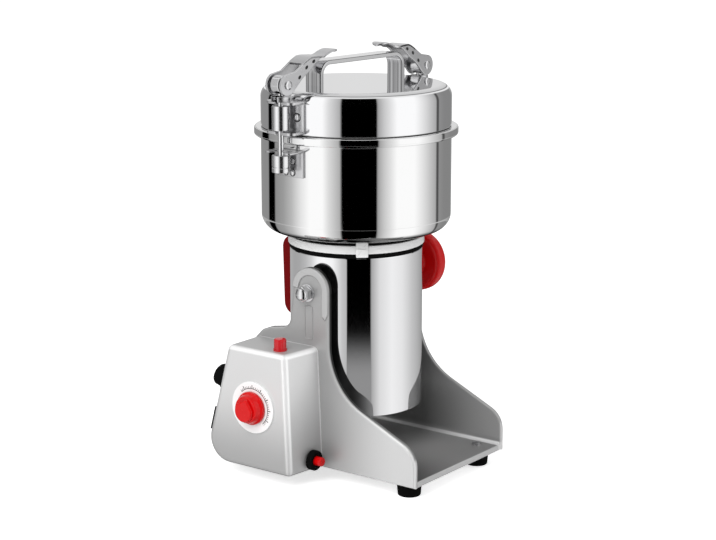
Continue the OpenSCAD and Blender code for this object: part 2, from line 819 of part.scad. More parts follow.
cover_t = 3;
cover_lip_t = 2;
vent_n = 5;
vent_w = 3;
vent_pitch = 9;
cover_angles = [45, 225];

module bottom_cover() {
    r = barrel_r - barrel_wall;
    color(black_rubber) place() difference() {
        union() {
            translate([0, 0, barrel_z0]) cylinder(r = r, h = cover_t);
            tube(r, r - cover_lip_t, barrel_z0, lower_bearing_z - barrel_z0);
        }
        for (i = [0 : vent_n - 1]) for (s = [-1, 1])
            translate([s * vent_pitch * 2 - vent_pitch, (i - (vent_n - 1) / 2) * vent_pitch - vent_w / 2, barrel_z0 - eps])
                cube([2 * vent_pitch, vent_w, cover_t + 2 * eps]);
        around(cover_angles, cover_lug_pcr) translate([0, 0, barrel_z0 - eps])
            cylinder(r = cover_screw_r, h = cover_t + 2 * eps);
    }
}

cover_screw_r = 1.8;
cover_screw_l = 14;
cover_head_h = 1;

module bottom_cover_screws() {
    color(steel) place() around(cover_angles, cover_lug_pcr) {
        translate([0, 0, barrel_z0 - cover_head_h]) cylinder(r = 2 * cover_screw_r - gap, h = cover_head_h);
        translate([0, 0, barrel_z0 - cover_head_h / 2]) cylinder(r = cover_screw_r, h = cover_screw_l);
    }
}

seal_proud = 0.6;
collar_step = 0.2;
collar_r = barrel_r - barrel_wall - collar_step;
clasp_t = 2.6;

module barrel_band() {
    r = barrel_r + band_proud;
    color("whitesmoke") place() {
        tube(r, collar_r, band_z0, band_h);
        // Clasp, whose tongue stands up in front of the seal under the bowl
        rotate([0, 0, clasp_turn]) translate([r - gap, -clasp_w / 2, bowl_z0 - gap - clasp_h])
            cube([clasp_t + gap, clasp_w, clasp_h]);
    }
}

module barrel_seals() {
    color(black_rubber) place() {
        tube(barrel_r + seal_proud, collar_r, barrel_z1, barrel_seal_h);
        tube(barrel_r + seal_proud, collar_r, band_z1, bowl_seal_h);
    }
}

rear_foot_t = 3;
rear_round = 9;
rear_hole_round = 6;
rear_lean = 2;

// Outline of the rear handle: distance from the axis and height
module rear_outline() {
    top_r = rear_reach;
    foot_r = rear_reach - rear_lean;
    z1 = rear_z0 + rear_h;
    hole = rear_grip_t + rear_hole_round;
    difference() {
        polygon(concat(
            [[0, rear_z0]],
            arc(foot_r - rear_round, rear_z0 + rear_round, rear_round, -90, 0, 8),
            arc(top_r - rear_round, z1 - rear_round, rear_round, 0, 90, 8),
            [[0, z1]]));
        polygon(concat(
            arc(foot_r - hole, rear_z0 + hole, rear_hole_round, -90, 0, 6),
            arc(top_r - hole, z1 - hole, rear_hole_round, 0, 90, 6),
            [[barrel_r + rear_foot_t, z1 - rear_grip_t], [barrel_r + rear_foot_t, rear_z0 + rear_grip_t]]));
    }
}

module rear_handle() {
    color(red_plastic) place() rotate([0, 0, 90 - rear_turn]) difference() {
        translate([0, rear_w / 2, 0]) rotate([90, 0, 0]) linear_extrude(rear_w) rear_outline();
        translate([0, 0, rear_z0 - eps]) cylinder(r = barrel_r + gap / 3, h = rear_h + 2 * eps);
        for (z = rear_screw_zs) translate([barrel_r - eps, 0, z]) rotate([0, 90, 0])
            cylinder(r = rear_screw_r, h = rear_screw_l);
    }
}

rear_screw_l = 16;
rear_head_h = 2;

module rear_handle_screws() {
    color(steel) place() rotate([0, 0, 90 - rear_turn]) for (z = rear_screw_zs)
        translate([barrel_r - barrel_wall - rear_head_h, 0, z]) rotate([0, 90, 0]) {
            cylinder(r = rear_screw_r, h = rear_screw_l);
            cylinder(r = 2 * rear_screw_r - gap, h = rear_head_h - gap);
        }
}

// Room for the screws' heads, in what fills the barrel there
module rear_screw_room() {
    rotate([0, 0, 90 - rear_turn]) for (z = rear_screw_zs)
        translate([barrel_r - barrel_wall - rear_head_h - gap, 0, z]) rotate([0, 90, 0])
            cylinder(r = 2 * rear_screw_r + gap, h = rear_head_h + gap + eps);
}

// The stack inside the barrel, from the top down
bracket_plate_t = 8;
upper_plate_z = barrel_z1 - bracket_plate_t;
bearing_r = 14;
bearing_h = 9;
bearing_drop = 4;
upper_bearing_z = upper_plate_z - bearing_drop;
hub_wall = 4;
ring_wall = 5;
bowl_boss_r = 6;
bowl_screw_r = 2.2;
bowl_screw_l = 12;
bowl_angles = [45 : 90 : 315];
shaft_end_r = 5;

module upper_bracket() {
    inner_r = barrel_r - barrel_wall;
    color("lightgray") place() difference() {
        union() {
            translate([0, 0, upper_plate_z]) cylinder(r = inner_r, h = bracket_plate_t);
            tube(collar_r, collar_r - ring_wall, barrel_z1, bowl_z0 - barrel_z1);
            translate([0, 0, upper_bearing_z]) cylinder(r = bearing_r + hub_wall, h = bowl_z0 - upper_bearing_z);
            around(bowl_angles, bowl_screw_pcr) translate([0, 0, barrel_z1 - eps])
                cylinder(r = bowl_boss_r, h = bowl_z0 - barrel_z1 + eps);
        }
        rear_screw_room();
        translate([0, 0, upper_bearing_z - eps]) cylinder(r = bearing_r, h = bearing_h + eps);
        translate([0, 0, upper_bearing_z]) cylinder(r = shaft_r + eps, h = bowl_z0);
        around(bowl_angles, bowl_screw_pcr) translate([0, 0, bowl_z0 - bowl_screw_l])
            cylinder(r = bowl_screw_r, h = bowl_screw_l + eps);
        // Holes for the cooling air
        around([0 : 90 : 270], (bearing_r + hub_wall + collar_r - ring_wall) / 2) translate([0, 0, upper_plate_z - eps])
            cylinder(r = bowl_boss_r, h = bracket_plate_t + 2 * eps);
    }
}

// From the bottom cover up: bearing, commutator, then the cores up to under the pivot pads
bearing_rise = 5.5;
lower_bearing_z = barrel_z0 + bearing_rise;
bearing_gap = 4;
commutator_z = lower_bearing_z + bearing_h + bearing_gap;
commutator_h = 16;
commutator_r = 15;
commutator_gap = 1;
winding_over = 7;
core_z = commutator_z + commutator_h + commutator_gap + winding_over;
core_drop = 7;
core_h = pivot_z - pad_r - core_drop - core_z;
armature_r = armature_share * barrel_r;
fan_gap = 2;
fan_z = core_z + core_h + winding_over + fan_gap;
fan_h = 10;
lower_foot_t = 2;
lower_rim_t = 4;
spoke_w = 10;
lower_ring_h = bearing_h + 3 / 4 * lower_rim_t;
cover_lug_r = 4.6;

module lower_bracket() {
    inner_r = barrel_r - barrel_wall;
    hub = bearing_r + hub_wall;
    color("lightgray") place() difference() {
        union() {
            tube(inner_r, inner_r - lower_rim_t, lower_bearing_z, lower_ring_h);
            translate([0, 0, lower_bearing_z - lower_foot_t]) cylinder(r = hub, h = bearing_h + lower_foot_t);
            around(bowl_angles, hub - hub_wall / 2) translate([0, -spoke_w / 2, lower_bearing_z])
                cube([inner_r - hub, spoke_w, bearing_h / 2]);
            around(cover_angles, cover_lug_pcr) translate([0, 0, lower_bearing_z])
                cylinder(r = cover_lug_r, h = lower_ring_h);
        }
        translate([0, 0, lower_bearing_z]) cylinder(r = bearing_r, h = bearing_h + eps);
        translate([0, 0, lower_bearing_z - lower_foot_t - eps]) cylinder(r = shaft_end_r + eps, h = bearing_h);
        around(cover_angles, cover_lug_pcr) translate([0, 0, barrel_z0])
            cylinder(r = cover_screw_r, h = cover_screw_l);
    }
}

// Ball bearing drawn as its outer ring, balls and inner ring in one
module bearing(z, bore) {
    translate([0, 0, z]) rotate_extrude() difference() {
        translate([bore, 0]) square([bearing_r - bore, bearing_h]);
        for (y = [-eps, bearing_h - bearing_h / 8])
            translate([bore + (bearing_r - bore) * 0.4, y]) square([(bearing_r - bore) * 0.2, bearing_h / 8 + eps]);
    }
}

module upper_bearing() { color(dark_steel) place() bearing(upper_bearing_z, shaft_r + run_gap); }

module lower_bearing() { color(dark_steel) place() bearing(lower_bearing_z, shaft_end_r + run_gap); }

stator_r = barrel_r - barrel_wall;
// Widths of the poles and thicknesses of the iron and coils, as shares of the barrel's radius
pole_share = 0.604;
pole_neck_share = 0.39;
yoke_share = 0.142;
pole_shoe_share = 0.107;
coil_over_share = 0.089;
pole_w = pole_share * barrel_r;
pole_neck_w = pole_neck_share * barrel_r;
yoke_t = yoke_share * barrel_r;
pole_shoe_t = pole_shoe_share * barrel_r;

module stator_core() {
    r_in = armature_r + air_gap;
    color(dark_steel) place() translate([0, 0, core_z]) difference() {
        union() {
            tube(stator_r, stator_r - yoke_t, 0, core_h);
            for (a = [90, 270]) rotate([0, 0, a]) {
                translate([r_in - eps, -pole_neck_w / 2, 0]) cube([stator_r - yoke_t - r_in + 2 * eps, pole_neck_w, core_h]);
                intersection() {
                    cylinder(r = r_in + pole_shoe_t, h = core_h);
                    translate([0, -pole_w / 2, 0]) cube([r_in + pole_shoe_t, pole_w, core_h]);
                }
            }
        }
        translate([0, 0, -eps]) cylinder(r = r_in, h = core_h + 2 * eps);
        translate([0, 0, -core_z]) rear_screw_room();
    }
}

coil_over = coil_over_share * barrel_r;
coil_gap = 0.4;

module field_coils() {
    x0 = armature_r + air_gap + pole_shoe_t + coil_gap;
    // The coil ends inside the yoke, whose bore is a chord nearer at the coil's corners
    half = pole_neck_w / 2 + coil_gap;
    outer = half + coil_over;
    x1 = sqrt(pow(stator_r - yoke_t - coil_gap, 2) - outer * outer);
    color(copper) place() for (a = [90, 270]) rotate([0, 0, a]) difference() {
        translate([x0, -outer, core_z - coil_over]) cube([x1 - x0, 2 * outer, core_h + 2 * coil_over]);
        translate([x0 - eps, -half, core_z - coil_gap]) cube([x1 - x0 + 2 * eps, 2 * half, core_h + 2 * coil_gap]);
    }
}

brush_w = 8;
brush_h = 10;
brush_z = commutator_z + commutator_h / 2;
brush_len = 14;
brush_out = 2.5;
holder_wall = 1.6;
holder_end_x = barrel_r - barrel_wall - lower_rim_t;

module brush_holders() {
    x0 = commutator_r + brush_out;
    foot_z = lower_bearing_z + lower_ring_h;
    color("#c9a24b") place() for (a = [0, 180]) rotate([0, 0, a]) difference() {
        union() {
            translate([x0, -brush_w / 2 - holder_wall, brush_z - brush_h / 2 - holder_wall])
                cube([holder_end_x - x0, brush_w + 2 * holder_wall, brush_h + 2 * holder_wall]);
            // Foot down to the lower bracket's ring
            translate([holder_end_x - 2 * holder_wall, -brush_w / 2, foot_z])
                cube([lower_rim_t + 2 * holder_wall - gap, brush_w, brush_z - foot_z]);
        }
        translate([x0 - eps, -brush_w / 2, brush_z - brush_h / 2])
            cube([holder_end_x - x0 - holder_wall + eps, brush_w, brush_h]);
    }
}

module carbon_brushes() {
    color("#262626") place() for (a = [0, 180]) rotate([0, 0, a]) difference() {
        translate([0, -brush_w / 2, brush_z - brush_h / 2]) cube([commutator_r + run_gap + brush_len, brush_w, brush_h]);
        translate([0, 0, brush_z - brush_h]) cylinder(r = commutator_r + run_gap, h = 2 * brush_h);
    }
}

spring_wire_r = 0.6;
spring_turns = 6;

// Brush springs, pressed together: a row of rings on a tube of their inner size
module brush_springs() {
    x0 = commutator_r + run_gap + brush_len;
    x1 = holder_end_x - holder_wall;
    r = brush_w / 2 - 2 * spring_wire_r;
    step = (x1 - x0) / spring_turns;
    color("goldenrod") place() for (a = [0, 180]) rotate([0, 0, a]) {
        x_cyl(x0, 0, brush_z, r - spring_wire_r, x1 - x0);
        for (i = [0 : spring_turns - 1])
            x_cyl(x0 + (i + 0.5) * step - spring_wire_r, 0, brush_z, r, 2 * spring_wire_r);
    }
}

// Bowl

seal_hole_r = 12;
bowl_in_r = bowl_r - bowl_wall;
rim_round = 2;

module bowl() {
    color(steel) place() difference() {
        translate([0, 0, bowl_z0]) rotate_extrude() polygon(concat(
            [[seal_hole_r, 0]],
            arc(bowl_r - bowl_round, bowl_round, bowl_round, -90, 0, 16),
            [[bowl_r, bowl_h - rim_h]],
            arc(rim_r - rim_round, bowl_h - rim_h + rim_round, rim_round, -90, 0, 6),
            arc(rim_r - rim_round, bowl_h - rim_round, rim_round, 0, 90, 6),
            [[bowl_in_r, bowl_h]],
            arc(bowl_r - bowl_round, bowl_round, bowl_round - bowl_wall, 0, -90, 16),
            [[seal_hole_r, bowl_wall]]));
        around(bowl_angles, bowl_screw_pcr) translate([0, 0, bowl_z0 - eps])
            cylinder(r = bowl_screw_r, h = bowl_wall + 2 * eps);
    }
}

bowl_head_r = 4.2;
bowl_head_h = 2.4;

module bowl_screws() {
    color(steel) place() around(bowl_angles, bowl_screw_pcr)
        translate([0, 0, bowl_z0 + bowl_wall]) {
            difference() {
                cylinder(r = bowl_head_r, h = bowl_head_h);
                translate([0, 0, bowl_head_h / 2]) cylinder(r = bowl_head_r / 2, h = bowl_head_h, $fn = 6);
            }
            translate([0, 0, -bowl_screw_l + gap]) cylinder(r = bowl_screw_r, h = bowl_screw_l);
        }
}

seal_h = 5;
seal_flange = 3;

module shaft_seal() {
    color(black_rubber) place() difference() {
        union() {
            translate([0, 0, bowl_z0]) cylinder(r = seal_hole_r, h = seal_h);
            translate([0, 0, bowl_z0 + bowl_wall]) cylinder(r = seal_hole_r + seal_flange, h = bowl_wall);
        }
        translate([0, 0, bowl_z0 - eps]) cylinder(r = shaft_r + run_gap, h = seal_h + 2 * eps);
    }
}

// Latch catches on the bowl

lip_drop = 4.6;
lip_z1 = rim_z0 - lip_drop;
lip_t = 1.6;
lip_reach = 5.6;
lip_hook = 2;
lip_slack = 1.4;
catch_h = 22.2;
catch_z0 = lip_z1 - catch_h;
catch_plate_t = 2;
catch_w = 28;
nut_z1 = lip_z1 - lip_t - lip_slack;
nut_z0 = nut_z1 - nut_h;
slot_side = 0.7;

// Sheet bent to a cylinder about the bowl's axis, on the left side
module bent_sheet(r_in, t, w, z0, h) {
    half = asin(w / 2 / r_in);
    translate([0, 0, z0]) intersection() {
        tube(r_in + t, r_in, 0, h);
        linear_extrude(h) polygon([[0, 0], [-2 * r_in, -2 * r_in * tan(half)], [-2 * r_in, 2 * r_in * tan(half)]]);
    }
}

module latch_catches() {
    color(steel) place() for (side = [0, 1]) at_latch(side) {
        bent_sheet(bowl_r, catch_plate_t, catch_w, catch_z0, lip_z1 - catch_z0);
        difference() {
            translate([-latch_r - lip_reach, -catch_w / 2, lip_z1 - lip_t]) cube([latch_r + lip_reach, catch_w, lip_t]);
            translate([0, 0, lip_z1 - 2 * lip_t]) cylinder(r = bowl_r + catch_plate_t / 2, h = 4 * lip_t);
            // Slot that lets the round nut swing out past the lip's hook
            translate([-latch_r - lip_reach - eps, -nut_r - slot_side, lip_z1 - 2 * lip_t])
                cube([lip_reach + nut_r - lip_hook + eps, 2 * (nut_r + slot_side), 4 * lip_t]);
        }
    }
}

rivet_r = 2.6;
rivet_h = 1.1;
catch_rivet_y = 3.6;
catch_rivet_zs = [catch_z0 + catch_h * 0.18, catch_z0 + catch_h * 0.6];

// Rivet head on the outside of a bent sheet
module rivet(r_face, y, z) {
    a = asin(y / r_face);
    rotate([0, 0, -a]) translate([-r_face - rivet_h, 0, z]) rotate([0, 90, 0])
        cylinder(r1 = rivet_r * 0.7, r2 = rivet_r, h = rivet_h);
}

module catch_rivets() {
    color(steel) place() for (side = [0, 1]) at_latch(side)
        for (z = catch_rivet_zs) for (s = [-1, 1]) rivet(bowl_r + catch_plate_t, s * catch_rivet_y, z);
}

// Rotor

shaft_over = 1;
shaft_z0 = lower_bearing_z - shaft_over;
blade_rise = 9;
lower_blade_z = bowl_z0 + bowl_wall + blade_rise;
upper_blade_z = lower_blade_z + blade_step;
thread_r = shaft_end_r;
blade_nut_h = 7;
shaft_z1 = upper_blade_z + blade_t + blade_nut_h - shaft_over;

shaft_step = 3;

module motor_shaft() {
    color(steel) place() {
        translate([0, 0, shaft_z0]) cylinder(r = shaft_end_r, h = lower_blade_z - shaft_z0);
        translate([0, 0, commutator_z - shaft_step]) cylinder(r = shaft_r, h = lower_blade_z - commutator_z + shaft_step);
        translate([0, 0, lower_blade_z - eps]) cylinder(r = thread_r, h = shaft_z1 - lower_blade_z + eps);
    }
}

slot_n = 12;
slot_w = 3;
slot_depth = 9;

module armature_core() {
    color(dark_steel) place() translate([0, 0, core_z]) difference() {
        cylinder(r = armature_r, h = core_h);
        around([for (i = [0 : slot_n - 1]) i * 360 / slot_n], armature_r - slot_depth)
            translate([0, -slot_w / 2, -eps]) cube([slot_depth + eps, slot_w, core_h + 2 * eps]);
        translate([0, 0, -eps]) cylinder(r = shaft_r, h = core_h + 2 * eps);
    }
}

winding_edge = 3;
winding_in = 2;

module armature_winding() {
    color(copper) place() {
        for (z = [core_z - winding_over, core_z + core_h])
            tube(armature_r - winding_edge, shaft_r + winding_in, z, winding_over);
        around([for (i = [0 : slot_n - 1]) i * 360 / slot_n], armature_r - slot_depth + eps)
            translate([0, -slot_w / 2 + gap, core_z - eps])
                cube([slot_depth - winding_edge, slot_w - 2 * gap, core_h + 2 * eps]);
    }
}

bar_n = 24;
bar_slot_w = 0.6;
bar_slot_depth = 1;

module commutator() {
    color(copper) place() translate([0, 0, commutator_z]) difference() {
        cylinder(r = commutator_r, h = commutator_h);
        translate([0, 0, -eps]) cylinder(r = shaft_r, h = commutator_h + 2 * eps);
        around([for (i = [0 : bar_n - 1]) i * 360 / bar_n], commutator_r - bar_slot_depth)
            translate([0, -bar_slot_w / 2, -eps]) cube([2 * bar_slot_depth, bar_slot_w, commutator_h + 2 * eps]);
    }
}

fan_blades = 10;
fan_t = 2;
fan_hub_wall = 5;

module cooling_fan() {
    color("#3b3b3b") place() translate([0, 0, fan_z]) difference() {
        union() {
            cylinder(r = fan_r, h = fan_t);
            cylinder(r = shaft_r + fan_hub_wall, h = fan_h);
            around([for (i = [0 : fan_blades - 1]) i * 360 / fan_blades], shaft_r + fan_hub_wall / 2)
                translate([0, -fan_t / 2, 0]) cube([fan_r - shaft_r - fan_hub_wall, fan_t, fan_h]);
        }
        translate([0, 0, -eps]) cylinder(r = shaft_r, h = fan_h + 2 * eps);
    }
}

tip_rise = 7;
tip_len = 18;

// Two-armed blade whose tips are bent, with its hub bored for the thread
module blade(reach, z, bend, turn) {
    flat = reach - tip_len;
    translate([0, 0, z]) rotate([0, 0, turn]) difference() {
        union() {
            translate([-flat, -blade_w / 2, 0]) cube([2 * flat, blade_w, blade_t]);
            for (s = [0, 1]) rotate([0, 0, 180 * s]) translate([flat - blade_t / 2, -blade_w / 2, blade_t / 2])
                rotate([0, -bend, 0]) translate([0, 0, -blade_t / 2])
                    cube([tip_len * 0.9, blade_w * 0.8, blade_t]);
        }
        translate([0, 0, -eps]) cylinder(r = thread_r, h = blade_t + 2 * eps);
    }
}

module lower_blade() { color(steel) place() blade(lower_blade_r, lower_blade_z, 20, 20); }

module upper_blade() { color(steel) place() blade(upper_blade_r, upper_blade_z, -14, 110); }

spacer_r = 9;

module blade_spacers() {
    color(steel) place() tube(spacer_r, thread_r, lower_blade_z + blade_t, blade_step - blade_t);
}

module blade_nut() {
    color(steel) place() translate([0, 0, upper_blade_z + blade_t]) difference() {
        cylinder(r = spacer_r, h = blade_nut_h, $fn = 6);
        translate([0, 0, -eps]) cylinder(r = thread_r, h = blade_nut_h + 2 * eps);
    }
}

// Lid

spigot_gap = 0.6;
spigot_t = 1.3;
spigot_r = bowl_in_r - spigot_gap;

module lid() {
    ro = bowl_r;
    ri = bowl_r - lid_wall;
    color(steel) place() translate([0, 0, lid_z0]) rotate_extrude() polygon(concat(
        [[0, lid_h - lid_wall], [0, lid_h]],
        arc(ro - lid_round, lid_h - lid_round, lid_round, 90, 0, 10),
        [[ro, 0], [spigot_r, 0], [spigot_r, -spigot_h], [spigot_r - spigot_t, -spigot_h],
         [spigot_r - spigot_t, lid_wall], [ri, lid_wall]],
        arc(ro - lid_round, lid_h - lid_round, lid_round - lid_wall, 0, 90, 10)));
}

gasket_slack = 0.1;
gasket_edge = 0.4;

module lid_gasket() {
    color("#4a4a4a") place()
        tube(bowl_r - gasket_edge, spigot_r, bowl_z1 + gasket_slack, lid_gap - gasket_slack);
}

// Side outline of the lid's handle: along the handle and height above the lid
module handle_outline() {
    half = handle_l / 2;
    r_in = handle_round - handle_t;
    polygon(concat(
        [[-half, 0]],
        arc(handle_round - half, handle_h - handle_round, handle_round, 180, 90, 10),
        arc(half - handle_round, handle_h - handle_round, handle_round, 90, 0, 10),
        [[half, 0], [half - handle_t, 0]],
        arc(half - handle_round, handle_h - handle_round, r_in, 0, 90, 10),
        arc(handle_round - half, handle_h - handle_round, r_in, 90, 180, 10),
        [[handle_t - half, 0]]));
}

module lid_handle() {
    color(steel) place() rotate([0, 0, -lid_turn]) translate([0, handle_w / 2, lid_z1]) rotate([90, 0, 0])
        linear_extrude(handle_w) handle_outline();
}

// Latch brackets on the lid, with the slotted collar that each lever clamps

flange_reach = 3.7;
rod_slot_gap = 0.5;
rod_slot = rod_r + rod_slot_gap;
collar_r_out = 7.8;

module latch_brackets() {
    h = bracket_z1 - bracket_z0;
    color(steel) place() for (side = [0, 1]) at_latch(side) {
        bent_sheet(bowl_r, catch_plate_t, bracket_w, bracket_z0, h);
        difference() {
            union() {
                for (z = [bracket_z0, bracket_z1 - bracket_t])
                    translate([-latch_r - flange_reach, -bracket_w / 2, z])
                        cube([latch_r + flange_reach, bracket_w, bracket_t]);
                translate([-latch_r, 0, bracket_z1]) cylinder(r = collar_r_out, h = collar_h);
            }
            translate([0, 0, bracket_z0 - eps]) cylinder(r = bowl_r + catch_plate_t / 2, h = h + collar_h + 2 * eps);
            // Slot, open outward, from which the rod swings
            translate([-latch_r, 0, bracket_z0 - eps]) cylinder(r = rod_slot, h = h + collar_h + 2 * eps);
            translate([-latch_r - 2 * collar_r_out, -rod_slot, bracket_z0 - eps])
                cube([2 * collar_r_out, 2 * rod_slot, h + collar_h + 2 * eps]);
        }
    }
}

bracket_rivet_y = 8.5;

module bracket_rivets() {
    z = (bracket_z0 + bracket_z1) / 2;
    color(steel) place() for (side = [0, 1]) at_latch(side)
        for (s = [-1, 1]) rivet(bowl_r + catch_plate_t, s * bracket_rivet_y, z);
}

// Swinging rod of a latch: eye on the pin, rod, sleeve and round nut

// Size of the rod's eye against the lever's cheek
eye_share = 0.86;
eye_r = eye_share * cheek_r;
eye_w = 9;

module latch_rod(side) {
    sleeve_z0 = bracket_z0 + bracket_t + sleeve_gap;
    sleeve_h = bracket_z1 - bracket_t - sleeve_gap - sleeve_z0;
    color("whitesmoke") place() at_latch(side) translate([-latch_r, 0, 0]) difference() {
        union() {
            translate([0, 0, nut_z0]) cylinder(r = nut_r, h = nut_h);
            translate([0, 0, nut_z0]) cylinder(r = rod_r, h = latch_pin_z - nut_z0);
            translate([0, 0, sleeve_z0]) cylinder(r = sleeve_r, h = sleeve_h);
            y_cyl(0, -eye_w / 2, latch_pin_z, eye_r, eye_w);
        }
        y_cyl(0, -eye_w, latch_pin_z, latch_pin_r + run_gap, 2 * eye_w);
    }
}

module left_latch_rod() { latch_rod(0); }
module right_latch_rod() { latch_rod(1); }

// Cam lever: two cheeks on the pin, joined by a bent strap that ends in a rounded tongue.
// The outlines are in shares of the lever's length, along the lid and up from the pin.
lever_l = 64;
top_shares = [[0.13, 0.16], [0.2, 0.2], [0.28, 0.25], [0.37, 0.3], [0.46, 0.325], [0.66, 0.315],
    [0.73, 0.33], [0.81, 0.36], [0.9, 0.38], [0.97, 0.37], [1, 0.355]];
low_shares = [[0.59, 0.28], [0.51, 0.23], [0.42, 0.155], [0.28, 0.07], [0.18, -0.015]];
strap_first = 2;
cheek_back_shares = [-0.3, 0.92];
cheek_foot_shares = [0.62, -0.66];
tongue_r = 7;
tongue_from = 0.66 * lever_l;

function scaled(shares) = [for (p = shares) [p[0] * lever_l, p[1] * lever_l]];
function dropped(points, t) = [for (i = [len(points) - 1 : -1 : 0]) [points[i][0], points[i][1] - t]];
function from(points, first) = [for (i = [first : len(points) - 1]) points[i]];

module cheek_outline() {
    circle(r = cheek_r);
    top = scaled(top_shares);
    polygon(concat([cheek_r * cheek_back_shares], [for (i = [0 : 5]) top[i]], scaled(low_shares),
                   [cheek_r * cheek_foot_shares]));
}

// The strap seen from above: as wide as the cheeks, then a narrower tongue
module strap_plan() {
    translate([0, -lever_w / 2]) square([tongue_from, lever_w]);
    translate([tongue_from - tongue_r, -tongue_r]) square([lever_l - tongue_from, 2 * tongue_r]);
    translate([lever_l - tongue_r, 0]) circle(r = tongue_r);
}

module latch_lever(side) {
    top = from(scaled(top_shares), strap_first);
    color(steel) place() at_latch(side) translate([-latch_r, 0, latch_pin_z]) difference() {
        union() {
            rotate([90, 0, 0]) for (z = [-lever_w / 2, lever_w / 2 - lever_t])
                translate([0, 0, z]) linear_extrude(lever_t) cheek_outline();
            intersection() {
                translate([0, lever_w / 2, 0]) rotate([90, 0, 0]) linear_extrude(lever_w)
                    polygon(concat(top, dropped(top, lever_t)));
                linear_extrude(lever_l) strap_plan();
            }
        }
        y_cyl(0, -lever_w, 0, latch_pin_r, 2 * lever_w);
    }
}

module left_latch_lever() { latch_lever(0); }
module right_latch_lever() { latch_lever(1); }

pin_head_r = 3.8;
pin_head_h = 1.4;

module latch_pin(side) {
    color("whitesmoke") place() at_latch(side) {
        y_cyl(-latch_r, -lever_w / 2, latch_pin_z, latch_pin_r, lever_w);
        for (y = [-lever_w / 2 - pin_head_h, lever_w / 2]) y_cyl(-latch_r, y, latch_pin_z, pin_head_r, pin_head_h);
    }
}

module left_latch_pin() { latch_pin(0); }
module right_latch_pin() { latch_pin(1); }

base_casting();
rubber_feet();
foot_screws();
control_box();
control_box_screws();
timer_dial();
timer_unit();
lamp_lens();
lamp_body();
breaker_body();
rocker_frame();
cable_gland();
gland_seal();
pivot_bolt();
pivot_washers();
timer_knob();
rocker_button();
breaker_button();
lock_knob();
motor_barrel();
bottom_cover();
bottom_cover_screws();
barrel_band();
barrel_seals();
rear_handle();
rear_handle_screws();
upper_bracket();
lower_bracket();
stator_core();
field_coils();
brush_holders();
carbon_brushes();
brush_springs();
upper_bearing();
lower_bearing();
bowl();
bowl_screws();
shaft_seal();
latch_catches();
catch_rivets();
motor_shaft();
armature_core();
armature_winding();
commutator();
cooling_fan();
lower_blade();
upper_blade();
blade_spacers();
blade_nut();
lid();
lid_gasket();
lid_handle();
latch_brackets();
bracket_rivets();
left_latch_rod();
right_latch_rod();
left_latch_lever();
right_latch_lever();
left_latch_pin();
right_latch_pin();
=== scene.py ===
"""Looks of the swing-type electric coffee grinder: polished bowl, lid and barrel, satin cast base,
red knobs and handle, black rubber trim. Lengths are in millimetres, from the barrel's axis and from
the table."""
import json
import math

import bmesh
import bpy
import numpy as np
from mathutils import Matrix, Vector


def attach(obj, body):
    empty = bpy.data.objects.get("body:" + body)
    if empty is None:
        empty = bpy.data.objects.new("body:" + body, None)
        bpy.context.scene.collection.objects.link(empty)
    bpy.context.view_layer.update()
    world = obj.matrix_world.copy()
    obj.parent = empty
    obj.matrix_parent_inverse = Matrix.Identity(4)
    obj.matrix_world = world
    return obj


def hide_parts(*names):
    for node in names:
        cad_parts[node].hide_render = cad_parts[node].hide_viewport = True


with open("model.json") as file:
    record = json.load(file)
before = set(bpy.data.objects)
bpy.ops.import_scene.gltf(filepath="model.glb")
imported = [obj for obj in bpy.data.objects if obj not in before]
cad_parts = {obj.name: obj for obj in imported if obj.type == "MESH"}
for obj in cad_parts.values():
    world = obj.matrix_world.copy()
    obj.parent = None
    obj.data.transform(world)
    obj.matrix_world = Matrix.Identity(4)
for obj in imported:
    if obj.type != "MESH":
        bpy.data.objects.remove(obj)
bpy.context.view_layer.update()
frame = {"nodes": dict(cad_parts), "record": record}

# Place of the barrel's axis in the part's frame
AXIS_X = 9.9
AXIS_Y = 11.65
MM = 0.001

# Heights of the machine
BASE_Z = 12.0
FLOOR_Z = 17.0
BARREL_Z = (54.0, 189.7)
BAND_Z = (193.5, 200.7)
BOWL_Z = (205.1, 292.9)
RIM_Z = 285.7
LID_Z = (293.4, 327.7)
REAR_HANDLE_Z = (117.7, 187.7)
PIVOT_Z = 160.5
EAR_Z = 163.5
PIN_Z = 334.8
BRACKET_Z = (294.6, 321.5)
CATCH_Z = 258.9
LIP_Z = (279.5, 281.1)
NUT_Z = (263.8, 278.1)
SLEEVE_Z = (298.0, 318.1)

# Radii about the barrel's axis, with the inner and outer face of the latches' bent sheets
BARREL_R = 56.3
SEAL_R = 56.9
BAND_R = 57.8
BOWL_R = 80.0
RIM_R = 85.7
SHEET_R = (80.05, 82.0)
LATCH_R = 91.3

# Turns about the barrel's axis, in degrees from X
CLASP_TURN = 221.5
REAR_HANDLE_TURN = 82
LATCH_TURNS = {"left": -4.5, "right": 180.0}

# Base
BASE_Y = (-109.0, 78.0)
PLATE_X = (62.0, 67.0)
EAR_Y = -3.0
EAR_R = 18.5
EAR_IN_R = 12.0

# Where the pivots' pads, bosses and lock knob start, out from the middle
PAD_X = 48.3
BOSS_X = 64.4
KNOB_X = 68.5

# Control box, whose face lies at -BOX_X, with the top and foot of its front and back and how far the
# front comes forward towards the plate, and its dial, lamp and breaker
BOX_X = 106.0
BOX_TOP = 115.8
BOX_EDGE = 4.5
BOX_FRONT = (-6.5, -11.0)
BOX_BACK = (54.62, 82.99)
BOX_FLARE = 4.0
DIAL = (27.0, 66.5)
SCALE_R = 16.3
SCALE_TURNS = (-43.0, 138.0)
LAMP = (-93.52, 8.0)
LENS_Z = (117.3, 125.8)
BREAKER = (-79.5, -13.8, 22.0)

